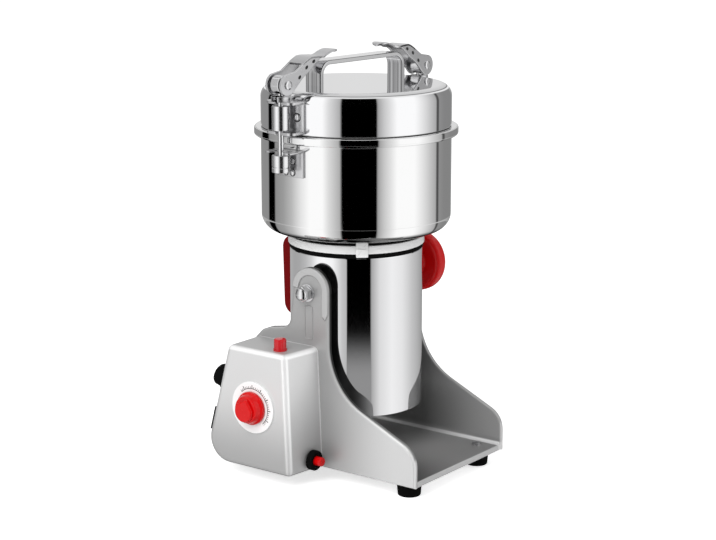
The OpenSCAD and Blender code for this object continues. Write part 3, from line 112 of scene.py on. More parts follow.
# Latches: outer face of the levers' cheeks, thickness of the sheets, and places of the rivets over
# width and height
CHEEK_Y = 8.5
SHEET = 2.0
BRACKET_RIVETS = [(side, y, 308.05) for side in LATCH_TURNS for y in (-8.5, 8.5)]
CATCH_RIVETS = [(side, y, z) for side in LATCH_TURNS for y in (-3.6, 3.6) for z in (262.9, 272.2)]

# Steepest fold, in degrees, that is still shaded as one smooth surface
SMOOTH_ANGLE = 32


# Outlines

def arc(a, b, r, start, end, steps=12):
    """Points at (a + r cos t, b + r sin t) for t from start to end, in degrees."""
    t = np.radians(np.linspace(start, end, steps + 1))
    return np.stack([a + r * np.cos(t), b + r * np.sin(t)], 1)


def rounded(corners, closed=True, steps=8):
    """Straight lines between corners (a, b, radius). A corner with a radius becomes the arc that
    touches both its lines, with its centre on their bisector."""
    corners = [tuple(c) + (0.0,) * (3 - len(c)) for c in corners]
    out = []
    for i, (a, b, r) in enumerate(corners):
        here = np.array([a, b])
        at_end = not closed and i in (0, len(corners) - 1)
        if r <= 0 or at_end:
            out.append(here[None])
            continue
        u = np.array(corners[i - 1][:2]) - here
        v = np.array(corners[(i + 1) % len(corners)][:2]) - here
        u = u / np.linalg.norm(u)
        v = v / np.linalg.norm(v)
        half = math.acos(np.clip(u @ v, -1, 1)) / 2
        centre = here + (u + v) / np.linalg.norm(u + v) * r / math.sin(half)
        first = here + u * r / math.tan(half) - centre
        last = here + v * r / math.tan(half) - centre
        t0 = math.atan2(first[1], first[0])
        turn = (math.atan2(last[1], last[0]) - t0 + math.pi) % (2 * math.pi) - math.pi
        t = t0 + turn * np.linspace(0, 1, steps + 1)
        out.append(centre + r * np.stack([np.cos(t), np.sin(t)], 1))
    return np.concatenate(out)


def oblong(a0, a1, b0, b1, r=0.0, steps=8):
    """Rectangle from a0 to a1 and b0 to b1 with rounded corners."""
    return rounded([(a0, b0, r), (a1, b0, r), (a1, b1, r), (a0, b1, r)], steps=steps)


def flowing(points, steps=6):
    """Smooth line through the points: on each stretch the cubic whose slope at a point is half the
    difference of its two neighbours."""
    p = np.asarray(points, float)
    before = np.vstack([2 * p[:1] - p[1:2], p[:-1]])
    after = np.vstack([p[1:], 2 * p[-1:] - p[-2:-1]])
    slope = (after - before) / 2
    t = np.linspace(0, 1, steps, endpoint=False)[None, :, None]
    a, b = p[:-1, None], p[1:, None]
    da, db = slope[:-1, None], slope[1:, None]
    curve = ((2 * t**3 - 3 * t**2 + 1) * a + (t**3 - 2 * t**2 + t) * da
             + (3 * t**2 - 2 * t**3) * b + (t**3 - t**2) * db)
    return np.vstack([curve.reshape(-1, p.shape[1]), p[-1:]])


def clean(outline):
    """The closed outline without repeated points, counter-clockwise."""
    p = np.asarray(outline, float)
    p = p[np.linalg.norm(p - np.roll(p, 1, 0), axis=1) > 1e-4]
    area = np.sum(p[:, 0] * np.roll(p[:, 1], -1) - np.roll(p[:, 0], -1) * p[:, 1])
    return p if area > 0 else p[::-1]


def drawn_in(outline, inset):
    """Each corner moved inward along its bisector, so that both its edges shift by the inset."""
    ahead = np.roll(outline, -1, 0) - outline
    ahead = ahead / np.linalg.norm(ahead, axis=1, keepdims=True)
    behind = np.roll(ahead, 1, 0)
    n0 = np.stack([-behind[:, 1], behind[:, 0]], 1)
    n1 = np.stack([-ahead[:, 1], ahead[:, 0]], 1)
    bisector = n0 + n1
    scale = np.maximum(np.sum(bisector * bisector, 1, keepdims=True) / 2, 0.5)
    return outline + inset * bisector / scale


def steadied(line, closed=True, near=0.3):
    """The line with a point near both ends of each long straight stretch, so that the smooth shading
    of the stretch doesn't lean with the rounds beside it."""
    p = np.asarray(line, float)
    out = []
    for i in range(len(p)):
        out.append(p[i])
        if i + 1 == len(p) and not closed:
            break
        way = p[(i + 1) % len(p)] - p[i]
        length = np.linalg.norm(way)
        if length > 4 * near:
            out += [p[i] + way * near / length, p[i] + way * (1 - near / length)]
    return np.array(out)


# Surfaces, each as (points, faces)

def net(rows, columns, close_rows=False, close_columns=False):
    """Quads between neighbours of a grid. A closed direction joins its last line to its first."""
    r = np.arange(rows if close_rows else rows - 1)[:, None]
    c = np.arange(columns if close_columns else columns - 1)[None]
    r2 = (r + 1) % rows
    c2 = (c + 1) % columns
    quads = np.broadcast_arrays(r * columns + c, r * columns + c2, r2 * columns + c2, r2 * columns + c)
    return np.stack(quads, -1).reshape(-1, 4).tolist()


def capped(rings, count):
    """Faces between neighbouring closed rings of count points, and one face over each end."""
    last = (rings - 1) * count
    return net(rings, count, False, True) + [list(range(count))[::-1], list(range(last, last + count))]


def turned(profile, turns=128, closed=True):
    """Surface of revolution: the profile's point (r, z) at turn a lies at (r cos a, r sin a, z)."""
    profile = steadied(profile, closed)
    a = np.linspace(0, 2 * np.pi, turns, endpoint=False)[:, None]
    r, z = profile[None, :, 0], profile[None, :, 1]
    points = np.stack(np.broadcast_arrays(r * np.cos(a), r * np.sin(a), z), -1).reshape(-1, 3)
    return points, net(turns, len(profile), True, closed)


def solid(corners, turns, steps=8):
    """Turned solid, whose outline runs through the corners (r, z, radius) from axis to axis."""
    return turned(rounded(corners, False, steps), turns, False)


def hoop(corners, turns, steps=8):
    """Turned ring, whose closed outline runs through the corners (r, z, radius)."""
    return turned(rounded(corners, True, steps), turns)


def slab(outline, low, high, edge=0.6, steps=4, low_edge=None):
    """Plate over a closed outline from height low to high. Both rims are quarter rounds: at angle t
    the outline is drawn in by edge (1 - cos t) while the height falls short by edge (1 - sin t). One
    more ring, drawn in a little further, keeps the shading of the flat faces flat."""
    outline = clean(outline)
    low_edge = edge if low_edge is None else low_edge
    margin = 0.3
    t = np.radians(np.linspace(0, 90, steps + 1))
    across, up = 1 - np.cos(t), 1 - np.sin(t)
    insets = np.concatenate([[low_edge + margin], low_edge * across[::-1], edge * across, [edge + margin]])
    heights = np.concatenate([[low], low + low_edge * up[::-1], high - edge * up, [high]])
    rings = [np.column_stack([drawn_in(outline, d), np.full(len(outline), h)])
             for d, h in zip(insets, heights)]
    return np.vstack(rings), capped(len(rings), len(outline))


def carried(section, path, side, widths=None):
    """Section (p, q) carried along a path: the point at path(s) + p w(s) side + q n(s), where n is
    the path's normal, square to the tangent and to side, and w widens the section."""
    path = np.asarray(path, float)
    side = np.asarray(side, float)
    tangent = np.gradient(path, axis=0)
    tangent = tangent / np.linalg.norm(tangent, axis=1, keepdims=True)
    normal = np.cross(side, tangent)
    widths = np.ones(len(path)) if widths is None else np.asarray(widths, float)
    points = (path[:, None] + section[None, :, 0, None] * widths[:, None, None] * side
              + section[None, :, 1, None] * normal[:, None])
    return points.reshape(-1, 3), capped(len(path), len(section))


def ringed(section, path, side):
    """The same section carried along a closed path, without ends."""
    points, _ = carried(section, np.vstack([path[-1:], path, path[:1]]), side)
    count = len(section)
    return points[count:-count], net(len(path), count, True, True)


def bar_section(width, thick, edge):
    """Rectangle with rounded corners, width along side and thick along the normal."""
    w, h = width / 2, thick / 2
    return steadied(oblong(-w, w, -h, h, edge, 4), near=0.15)


def joined(*shapes):
    """Several surfaces as one."""
    points = []
    faces = []
    shift = 0
    for p, f in shapes:
        points.append(p)
        faces += [[i + shift for i in face] for face in f]
        shift += len(p)
    return np.vstack(points), faces


# Moves

def moved(shape, x, y, z):
    """Shifted by x, y and z."""
    return shape[0] + np.array([x, y, z], float), shape[1]


def spun(shape, degrees):
    """Turned about the vertical axis."""
    a = math.radians(degrees)
    turn = np.array([[math.cos(a), math.sin(a), 0], [-math.sin(a), math.cos(a), 0], [0, 0, 1]])
    return shape[0] @ turn, shape[1]


def swapped(shape, order, scale=(1, 1, 1)):
    """Axes in a new order, each turned over or stretched by its scale."""
    return shape[0][:, list(order)] * np.array(scale, float), shape[1]


def along_x(shape, x, y, z, way=1):
    """A piece made about its own Z laid along X, pointing right or left."""
    return moved(swapped(shape, (2, 1, 0), (way, way, 1)), x, y, z)


def along_y(shape, x, y, z, way=1):
    """A piece made about its own Z laid along Y, pointing back or front."""
    return moved(swapped(shape, (0, 2, 1), (1, way, way)), x, y, z)


def across(shape, way=1):
    """A slab drawn over Y and Z laid across X, on the right or mirrored to the left."""
    return swapped(shape, (2, 0, 1), (way, 1, 1))


def at_latch(shape, side):
    """From a latch's own frame, whose X points to the axis from its pin's line, to the machine's."""
    return spun(moved(shape, -LATCH_R, 0, 0), LATCH_TURNS[side])


def from_axis(shape):
    """From about the barrel's axis to a latch's own frame."""
    return moved(shape, LATCH_R, 0, 0)


def piece(name, shape, finish, body, stands_for=None):
    """Mesh of a surface, in metres in the part's frame, which rides on a body."""
    points = (np.asarray(shape[0], float) + np.array([AXIS_X, AXIS_Y, 0])) * MM
    mesh = bpy.data.meshes.new(name)
    mesh.from_pydata(points.tolist(), [], shape[1])
    work = bmesh.new()
    work.from_mesh(mesh)
    bmesh.ops.remove_doubles(work, verts=work.verts, dist=2e-6)
    bmesh.ops.recalc_face_normals(work, faces=work.faces)
    work.to_mesh(mesh)
    work.free()
    mesh.shade_smooth()
    mesh.set_sharp_from_angle(angle=math.radians(SMOOTH_ANGLE))
    mesh.materials.append(FINISHES[finish])
    obj = bpy.data.objects.new(name, mesh)
    bpy.context.scene.collection.objects.link(obj)
    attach(obj, body)
    if stands_for:
        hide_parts(stands_for)


# Nodes of the finishes

def join(tree, source, target):
    """Link from a node's output to a socket."""
    tree.links.new(source, target)


def feed(tree, value, socket):
    """A node's output, a number, a colour or a grey level into a socket."""
    if isinstance(value, bpy.types.NodeSocket):
        join(tree, value, socket)
    elif socket.type == "RGBA" and isinstance(value, (int, float)):
        socket.default_value = (value, value, value, 1)
    else:
        socket.default_value = value


def add(tree, kind, settings=None, **inputs):
    """New node of a kind, with its settings made first and then its inputs fed by name."""
    node = tree.nodes.new("ShaderNode" + kind)
    for label, value in (settings or {}).items():
        setattr(node, label, value)
    for label, value in inputs.items():
        feed(tree, value, node.inputs[label.replace("_", " ")])
    return node


def maths(tree, operation, *values):
    """Math node on sockets or numbers; gives its result."""
    node = add(tree, "Math", {"operation": operation})
    for socket, value in zip(node.inputs, values):
        feed(tree, value, socket)
    return node.outputs[0]


def plus(tree, first, second):
    """Sum of two values."""
    return maths(tree, "ADD", first, second)


def minus(tree, first, second):
    """Difference of two values."""
    return maths(tree, "SUBTRACT", first, second)


def times(tree, first, second):
    """Product of two values."""
    return maths(tree, "MULTIPLY", first, second)


def most(tree, first, *others):
    """Largest of several values."""
    for other in others:
        first = maths(tree, "MAXIMUM", first, other)
    return first


def far(tree, first, second):
    """Length of the line to (first, second)."""
    squares = [maths(tree, "POWER", value, 2.0) for value in (first, second)]
    return maths(tree, "SQRT", plus(tree, *squares))


def blend(tree, factor, first, second, kind="MIX"):
    """Mix of two colours, each a socket or a grey level."""
    return add(tree, "Mix", {"data_type": "RGBA", "blend_type": kind}, Factor=factor, A=first,
               B=second).outputs["Result"]


def dimmed(tree, colour, share):
    """A colour times a share."""
    return add(tree, "VectorMath", {"operation": "SCALE"}, Vector=colour, Scale=share).outputs[0]


def ranged(tree, value, start, end, low, high):
    """Smooth step from low to high as the value goes from start to end."""
    return add(tree, "MapRange", {"interpolation_type": "SMOOTHSTEP"}, Value=value, From_Min=start,
               From_Max=end, To_Min=low, To_Max=high).outputs["Result"]


def noise(tree, place, scale, detail=2):
    """Cloudy noise from 0 to 1 over a place."""
    return add(tree, "TexNoise", Vector=place, Scale=scale, Detail=detail).outputs["Fac"]


def object_place(tree):
    """Place of the shaded point on its object, in metres."""
    return add(tree, "TexCoord").outputs["Object"]


def split(tree, vector):
    """X, Y and Z of a vector."""
    return add(tree, "SeparateXYZ", Vector=vector).outputs[:]


def place_from(tree, start, scale):
    """X, Y and Z of the shaded point from a start, in a unit of length of which a metre has scale."""
    centre = add(tree, "Mapping", Vector=object_place(tree), Location=tuple(-v for v in start),
                 Scale=(scale, scale, scale))
    return split(tree, centre.outputs["Vector"])


def machine_place(tree):
    """Place of the shaded point from the barrel's axis, in millimetres."""
    return place_from(tree, (AXIS_X, AXIS_Y, 0.0), 1 / MM)


# Effects that several finishes share

def effect(name, inputs, outputs):
    """Empty node group with the given sockets, what it is given and what it gives."""
    group = bpy.data.node_groups.new(name, "ShaderNodeTree")
    for label, kind, value in inputs:
        made = group.interface.new_socket(label, in_out="INPUT", socket_type="NodeSocket" + kind)
        made.default_value = value
    for label, kind in outputs:
        group.interface.new_socket(label, in_out="OUTPUT", socket_type="NodeSocket" + kind)
    return group, group.nodes.new("NodeGroupInput").outputs, group.nodes.new("NodeGroupOutput").inputs


def grain_effect():
    """Cloudy noise at two sizes: a colour lightened and darkened by it, a roughness that wanders
    about its middle, and a height for bumps."""
    group, given, gives = effect(
        "surface_grain",
        [("Colour", "Color", (0.5, 0.5, 0.5, 1)), ("Tint", "Float", 0.06), ("Roughness", "Float", 0.3),
         ("Wander", "Float", 0.05), ("Fine", "Float", 900.0), ("Broad", "Float", 18.0)],
        [("Colour", "Color"), ("Roughness", "Float"), ("Height", "Float")])
    place = object_place(group)
    fine = noise(group, place, given["Fine"], 4)
    broad = noise(group, place, given["Broad"], 3)
    both = plus(group, times(group, fine, 0.5), times(group, broad, 0.5))
    off = times(group, minus(group, both, 0.5), 2.0)
    tone = plus(group, times(group, off, given["Tint"]), 1.0)
    join(group, dimmed(group, given["Colour"], tone), gives["Colour"])
    join(group, plus(group, given["Roughness"], times(group, off, given["Wander"])), gives["Roughness"])
    join(group, fine, gives["Height"])
    return group


def polish_effect():
    """Marks of polishing round the machine's axis: noise stretched along the turning direction, so
    it varies with height and distance from the axis only, as a roughness and a height."""
    group, given, gives = effect("polishing_marks", [("Roughness", "Float", 0.05), ("Wander", "Float", 0.02)],
                                 [("Roughness", "Float"), ("Height", "Float")])
    x, y, z = place_from(group, (AXIS_X * MM, AXIS_Y * MM, 0.0), 1)
    line = add(group, "CombineXYZ", X=far(group, x, y), Z=z).outputs["Vector"]
    marks = noise(group, line, 2600, 3)
    cloud = noise(group, object_place(group), 14)
    off = minus(group, plus(group, marks, cloud), 1.0)
    join(group, plus(group, given["Roughness"], times(group, off, given["Wander"])), gives["Roughness"])
    join(group, marks, gives["Height"])
    return group


def scale_effect():
    """Printed scale of the dial, as a mask of ink: fine strokes at every 6 degrees and longer ones at
    every 30, between two circles about the dial's centre, over the part of the turn that is in use."""
    group, _, gives = effect("dial_scale", [], [("Ink", "Float")])
    _, back, up = place_from(group, (0.0, (DIAL[0] + AXIS_Y) * MM, DIAL[1] * MM), 1)
    ahead = times(group, back, -1.0)
    radius = times(group, far(group, ahead, up), 1000.0)
    turn = maths(group, "DEGREES", maths(group, "ARCTAN2", ahead, up))

    def between(value, low, high):
        """1 where the value lies between low and high."""
        return times(group, maths(group, "GREATER_THAN", value, low), maths(group, "LESS_THAN", value, high))

    def strokes(step, width, r0, r1):
        """1 where the turn is within half a stroke's width of a multiple of the step, from r0 to r1."""
        off = maths(group, "RADIANS", maths(group, "PINGPONG", turn, step / 2))
        thin = maths(group, "LESS_THAN", times(group, off, radius), width / 2)
        return times(group, thin, between(radius, r0, r1))

    ring = maths(group, "LESS_THAN", maths(group, "ABSOLUTE", minus(group, radius, SCALE_R)), 0.3)
    ink = most(group, strokes(6.0, 0.5, 16.4, 18.2), strokes(30.0, 0.8, 16.0, 19.4), ring)
    join(group, times(group, ink, between(turn, *SCALE_TURNS)), gives["Ink"])
    return group


def casting_painted_light():
    """Share of the paint's brightness over the base, which paints light and shade on it. Outside, painted
    shade darkens it from the front corner back to the ear, and painted highlights run along the rounds of the
    plates and the ear's rim. Inside the plates painted shade makes it darkest behind and on the left, paler
    to the front, on the right plate's rim and along its fillet, where a painted highlight runs."""
    group, _, gives = effect("casting_painted_light_shares", [], [("Share", "Float")])
    x, y, z = machine_place(group)
    out = maths(group, "ABSOLUTE", x)

    def both(first, second):
        """Product of two shares."""
        return times(group, first, second)

    def from_to(value, start, end, low=0.0, high=1.0):
        """Smooth step, which is from 0 to 1 unless it says otherwise."""
        return ranged(group, value, start, end, low, high)

    def rest(share):
        """What a share leaves of 1."""
        return minus(group, 1.0, share)

    # Painted shade on the inner faces of the two plates, by how far to the front they are, and by their
    # height
    left = both(from_to(y, -34, -96, 0.02, 0.33), from_to(x, 40, -40))
    right = both(from_to(y, -50, -100, 0.4, 0.56), from_to(x, -40, 40))
    wall = both(plus(group, left, right), from_to(z, 56, 84, 1.0, 0.6))
    # Painted shade on the floor, which darkens to the front and to the left plate
    floor = both(from_to(y, -30, -108, 0.62, 0.36), from_to(x, -62, 10, 0.5))
    on_wall = from_to(z, 17.2, 24)
    inside = plus(group, both(wall, on_wall), both(floor, rest(on_wall)))
    # Painted highlight along the right fillet, and the paler painted rim of the right plate
    fillet_painted_highlight = both(from_to(x, 57.5, 59, 0.0, 1.1), from_to(z, 20.5, 18.5))
    inside = most(group, inside, fillet_painted_highlight, from_to(x, 62.05, 62.8, 0.0, 0.5))
    # Outer faces, underside and front edge, with painted highlights along the rounds of the plates and ears,
    # and painted shade that darkens the outer faces back towards the ear
    outside = most(group, from_to(out, 64.5, 66.5), from_to(z, 12.5, 13.2, 1.0, 0.0),
                   from_to(y, -107.2, -108.5, 0.0, 0.75))
    lines = most(group, both(from_to(out, 64.8, 65.5, 0.0, 0.4), from_to(out, 66.9, 66.3)),
                 from_to(out, 67.2, 68.0, 0.0, 0.25))
    painted_shade = both(from_to(y, -92, -18, 0.92, 0.56), plus(group, lines, 1.0))
    join(group, plus(group, both(inside, rest(outside)), both(outside, painted_shade)), gives["Share"])
    return group


def cover_painted_light():
    """Share of the paint's brightness over the control box, which paints light and shade on it: painted shade
    darkens it towards the foot and on its top face, and painted highlights brighten its three outer front
    edges, where two of the distances to their faces are small, and its rim along the plate."""
    group, _, gives = effect("cover_painted_light_shares", [], [("Share", "Float")])
    x, y, z = machine_place(group)
    side = plus(group, x, BOX_X)
    top = minus(group, BOX_TOP, z)
    lean = (BOX_FRONT[0] - BOX_FRONT[1]) / (BOX_TOP - BASE_Z)
    flare = BOX_FLARE / (BOX_X - PLATE_X[1])
    front = plus(group, minus(group, y, BOX_FRONT[0]), plus(group, times(group, top, lean),
                                                            times(group, side, flare)))
    near_side, near_top, near_front = [ranged(group, away, 4.6, 2.2, 0.0, 1.0) for away in (side, top, front)]
    # Painted highlights along the three outer front edges and the rim by the plate
    painted_highlights = most(group, times(group, near_side, near_top), times(group, near_side, near_front),
                  times(group, near_top, near_front), ranged(group, side, 37.4, 38.2, 0.0, 0.9))
    # Painted shade, darker towards the foot and on the top face
    foot = times(group, ranged(group, z, 12, 84, 0.58, 1.0), ranged(group, top, 1.6, 0.2, 1.0, 0.72))
    join(group, plus(group, foot, times(group, painted_highlights, 0.45)), gives["Share"])
    return group


GRAIN = grain_effect()
POLISH = polish_effect()
SCALE = scale_effect()


# Finishes

MIRROR_STEEL = (0.9, 0.9, 0.91)
SILVER_PAINT = (0.76, 0.76, 0.76)


def shader(name, metallic=0.0, **constants):
    """New material; gives it with its tree and its main shader, whose fixed values are set by name."""
    material = bpy.data.materials.new(name)
    material.use_nodes = True
    tree = material.node_tree
    main = tree.nodes["Principled BSDF"]
    main.inputs["Metallic"].default_value = metallic
    for label, value in constants.items():
        main.inputs[label.replace("_", " ")].default_value = value
    return material, tree, main


def placed(tree, group, **values):
    """Outputs of an effect placed in a material with its own values."""
    return add(tree, "Group", {"node_tree": group}, **values).outputs


def bump(tree, main, height, depth, strength):
    """Heights, in units of depth in metres, as the shader's normal."""
    node = add(tree, "Bump", Strength=strength, Distance=depth, Height=height)
    join(tree, node.outputs["Normal"], main.inputs["Normal"])


def grained(name, colour, rough, wander=0.05, tint=0.06, fine=900.0, broad=18.0, depth=0.00005,
            strength=0.25, metallic=0.0, **constants):
    """Finish with cloudy grain in its colour, its gloss and its surface."""
    material, tree, main = shader(name, metallic, **constants)
    grain = placed(tree, GRAIN, Colour=(*colour, 1), Tint=tint, Roughness=rough, Wander=wander, Fine=fine,
                   Broad=broad)
    join(tree, grain["Colour"], main.inputs["Base Color"])
    join(tree, grain["Roughness"], main.inputs["Roughness"])
    bump(tree, main, grain["Height"], depth, strength)
    return material


def polished(name, rough, wander, painted_shade=None):
    """Steel polished round the machine's axis. Below the two heights in painted_shade its colour fades to a
    painted dark reflection on the bowl's underside."""
    material, tree, main = shader(name, 1.0)
    main.inputs["Base Color"].default_value = (*MIRROR_STEEL, 1)
    marks = placed(tree, POLISH, Roughness=rough, Wander=wander)
    join(tree, marks["Roughness"], main.inputs["Roughness"])
    bump(tree, main, marks["Height"], depth=0.000002, strength=0.1)
    if painted_shade:
        # Painted dark reflection: the colour fades to near black below these heights
        _, _, z = machine_place(tree)
        painted_dark_fade = ranged(tree, z, *painted_shade, 0.0, 1.0)
        join(tree, blend(tree, painted_dark_fade, 0.09, MIRROR_STEEL[0]), main.inputs["Base Color"])
    return material


def handle_painted_reflection():
    """Polished flat bar with painted reflections: its colour turns dark and then light again over the rounds
    of its long edges, and dark painted reflections streak along each leg."""
    material = polished("polished_handle_bar_painted_reflection", 0.06, 0.03)
    tree = material.node_tree
    x, y, z = machine_place(tree)
    turn = math.radians(LATCH_TURNS["left"])
    over_bar = minus(tree, times(tree, y, math.cos(turn)), times(tree, x, math.sin(turn)))
    off_middle = maths(tree, "ABSOLUTE", over_bar)
    # Painted reflection over the rounds of the bar's long edges: dark, then light again
    sides = most(tree, ranged(tree, off_middle, 7.5, 7.9, 1.0, 0.2),
                 ranged(tree, off_middle, 8.25, 8.42, 0.0, 0.85))
    # Painted dark reflections in streaks along each leg, below the bar's top
    streaks = noise(tree, add(tree, "CombineXYZ", X=over_bar).outputs["Vector"], 0.45)
    low = ranged(tree, z, 346.5, 339.0, 0.0, 1.0)
    painted_leg_streaks = plus(tree, times(tree, low, ranged(tree, streaks, 0.35, 0.65, 0.3, 0.95)), minus(tree, 1.0, low))
    join(tree, dimmed(tree, MIRROR_STEEL, times(tree, sides, painted_leg_streaks)),
         tree.nodes["Principled BSDF"].inputs["Base Color"])
    return material


def cast_finish(name, shares):
    """Satin silver paint whose brightness is scaled over the piece by the given effect of painted light and
    shade.
    """
    material = grained(name, SILVER_PAINT, rough=0.42, wander=0.05, tint=0.05, fine=1500, broad=12,
                       depth=0.00004, strength=0.2, metallic=0.5)
    tree = material.node_tree
    base = tree.nodes["Principled BSDF"].inputs["Base Color"]
    grain = base.links[0].from_socket
    join(tree, dimmed(tree, grain, placed(tree, shares)["Share"]), base)
    return material


def dial_print():
    """White dial plate with its printed scale."""
    material, tree, main = shader("white_dial_plate", Coat_Weight=0.3, Coat_Roughness=0.12)
    grain = placed(tree, GRAIN, Colour=(0.87, 0.87, 0.87, 1), Tint=0.02, Roughness=0.3)
    join(tree, blend(tree, placed(tree, SCALE)["Ink"], grain["Colour"], 0.02), main.inputs["Base Color"])
    join(tree, grain["Roughness"], main.inputs["Roughness"])
    return material


# Each grained finish gives, in this order: name, colour, roughness and how far it wanders, tint of the
# clouds, fine and broad grain per metre, depth and strength of the bumps, share of metal
FINISHES = {
    # Both silver paints carry painted light and shade from their share effects
    "cast_paint": cast_finish("satin_silver_cover_painted_light", cover_painted_light()),
    "polished_steel": polished("mirror_polished_steel", 0.035, 0.02),
    # The bowl's steel carries a painted dark reflection on its underside, below 207.2 mm to 210.8 mm
    "bowl_steel": polished("bowl_steel_painted_dark_underside", 0.035, 0.02, (207.2, 210.8)),
    "handle_steel": handle_painted_reflection(),
    "fitting_steel": grained("polished_fitting_steel", (0.8, 0.8, 0.81), 0.15, 0.05, 0.06, 700, 30,
                             0.00003, 0.12, 1.0),
    "satin_sheet": grained("satin_latch_sheet", (0.7, 0.7, 0.71), 0.29, 0.06, 0.06, 900, 40,
                           0.00004, 0.2, 1.0),
    # The rear handle's red is a darker copy of the red moulding: painted shade
    "deep_red": grained("red_moulding_painted_shade", (0.16, 0.002, 0.003), 0.3, 0.05, 0.06, 500, 20,
                        0.00004, 0.12, Specular_IOR_Level=0.05),
    "rod_steel": grained("turned_rod_steel", (0.86, 0.86, 0.87), 0.2, 0.05, 0.05, 700, 30,
                         0.00003, 0.1, 1.0),
    "steel": grained("machined_steel", (0.66, 0.66, 0.67), 0.28, 0.08, 0.06, 1200, 40,
                     0.00003, 0.2, 1.0),
    "blade_steel": grained("ground_blade_steel", (0.7, 0.7, 0.72), 0.24, 0.08, 0.05, 1400, 30,
                           0.00003, 0.2, 1.0),
    "band_white": grained("gloss_white_band", (0.9, 0.9, 0.9), 0.18, 0.04, 0.02, 600, 20,
                          0.00002, 0.1, Coat_Weight=0.5, Coat_Roughness=0.06),
    "red_plastic": grained("gloss_red_moulding", (0.6, 0.002, 0.003), 0.26, 0.05, 0.06, 500, 20,
                           0.00004, 0.12, Specular_IOR_Level=0.25, Coat_Weight=0.15, Coat_Roughness=0.06),
    "lamp_red": grained("clear_red_lens", (0.5, 0.006, 0.012), 0.16, 0.03, 0.08, 300, 60,
                        0.00005, 0.1, Specular_IOR_Level=0.4, Coat_Weight=0.2, Coat_Roughness=0.05),
    "black_rubber": grained("matt_black_rubber", (0.005, 0.005, 0.005), 0.55, 0.08, 0.2, 1100, 30,
                            0.00006, 0.35, Specular_IOR_Level=0.01),
    "black_plastic": grained("satin_black_moulding", (0.005, 0.005, 0.005), 0.4, 0.06, 0.15, 1300, 30,
                             0.00005, 0.3, Specular_IOR_Level=0.01),
    "grey_silicone": grained("grey_silicone_ring", (0.08, 0.08, 0.08), 0.5, 0.06, 0.1, 900, 30),
    "white_dial": dial_print(),
    "cream_plastic": grained("cream_moulding", (0.72, 0.64, 0.45), 0.4, 0.05, 0.05, 700, 20),
    "cast_aluminium": grained("bare_cast_aluminium", (0.6, 0.6, 0.61), 0.45, 0.1, 0.08, 900, 25,
                              0.00008, 0.4, 1.0),
    "core_steel": grained("dark_core_steel", (0.2, 0.2, 0.21), 0.42, 0.08, 0.1, 1500, 25,
                          0.00005, 0.3, 0.9),
    "copper": grained("enamelled_copper_wire", (0.62, 0.25, 0.11), 0.3, 0.08, 0.15, 1800, 30,
                      0.0001, 0.4, 1.0),
    "brass": grained("pressed_brass", (0.72, 0.52, 0.22), 0.3, 0.06, 0.08, 900, 30,
                     0.00003, 0.2, 1.0),
    "spring_steel": grained("spring_wire", (0.66, 0.6, 0.45), 0.28, 0.06, 0.06, 900, 30,
                            0.00003, 0.2, 1.0),
    "carbon": grained("carbon_block", (0.02, 0.02, 0.022), 0.5, 0.08, 0.2, 1500, 40, 0.00006, 0.3),
    # Painted light and shade over the base casting
    "casting_paint": cast_finish("satin_silver_casting_painted_light", casting_painted_light()),
    "hole_dark": grained("hole_shade", (0.015, 0.015, 0.015), 0.6, 0.05, 0.1),
}

# Every node of the frame takes its slot's finish
for entry in frame["record"]["subparts"]:
    node_mesh = frame["nodes"][entry["node"]].data
    node_mesh.materials.clear()
    node_mesh.materials.append(FINISHES[entry["material_slot"]])

# The lamp's flange shows in the lens's colour
frame["nodes"]["lamp_body"].data.materials[0] = FINISHES["lamp_red"]


# Bowl, lid and barrel

def bowl_shape():
    """Pressed bowl: flat bottom, round corner, straight wall and a rolled rim that stands out."""
    low, high = BOWL_Z
    thick, corner, rim, mid_z, hub_r = 1.5, 14, 2, 250, 12
    return turned(np.vstack([
        [[hub_r, low]], arc(BOWL_R - corner + 0.05, low + corner, corner, -90, -5, 22),
        [[BOWL_R, mid_z], [BOWL_R, RIM_Z - 0.8]], arc(BOWL_R + 0.8, RIM_Z - 0.8, 0.8, 180, 90, 4),
        arc(RIM_R - rim, RIM_Z + rim, rim, -90, 0, 10), arc(RIM_R - rim, high - rim, rim, 0, 90, 10),
        [[79.2, high]], arc(79.1, high - 0.6, 0.6, 90, 180, 4), [[BOWL_R - thick, mid_z]],
        arc(BOWL_R - corner, low + corner, corner - thick, 0, -90, 24), [[hub_r, low + thick]]]), 256)


def lid_shape():
    """Pressed lid: flat top, round shoulder, straight skirt, and a step that fits inside the bowl."""
    low, high = LID_Z
    thick, corner, edge, step_r, step_depth = 1.4, 10, 0.6, (76.6, 77.9), 6
    return turned(np.vstack([
        [[0, high], [50, high]], arc(BOWL_R - corner, high - corner, corner, 90, 0, 20),
        [[BOWL_R, 305], [BOWL_R, low + edge]], arc(BOWL_R - edge, low + edge, edge, 0, -90, 4),
        [[step_r[1], low], [step_r[1], low - step_depth], [step_r[0], low - step_depth],
         [step_r[0], low + thick], [BOWL_R - thick, low + thick]],
        arc(BOWL_R - corner, high - corner, corner - thick, 0, 90, 14), [[0, high - thick]]]), 256, False)


def barrel_shape():
    """Barrel's tube and the two round pads that its pivots screw into."""
    low, high = BARREL_Z
    inner = BARREL_R - 1.2
    tube = hoop([(inner, low, 0.4), (BARREL_R, low, 0.5), (BARREL_R, high, 0.4), (inner, high, 0.3)], 256, 4)
    pad = hoop([(4.2, 0), (13, 0), (13, 10.4, 0.8), (4.2, 10.4, 0.5)], 64, 4)
    return joined(tube, *[along_x(pad, way * PAD_X, 0, PIVOT_Z, way) for way in (1, -1)])


def seal(low, high, edge):
    """Rubber ring between two heights, with its outer edges rounded. Its black also stands for painted shade
    in the gaps beside the clamping band.
    """
    return hoop([(53.4, low), (SEAL_R, low, edge), (SEAL_R, high, edge), (53.4, high)], 192, 5)


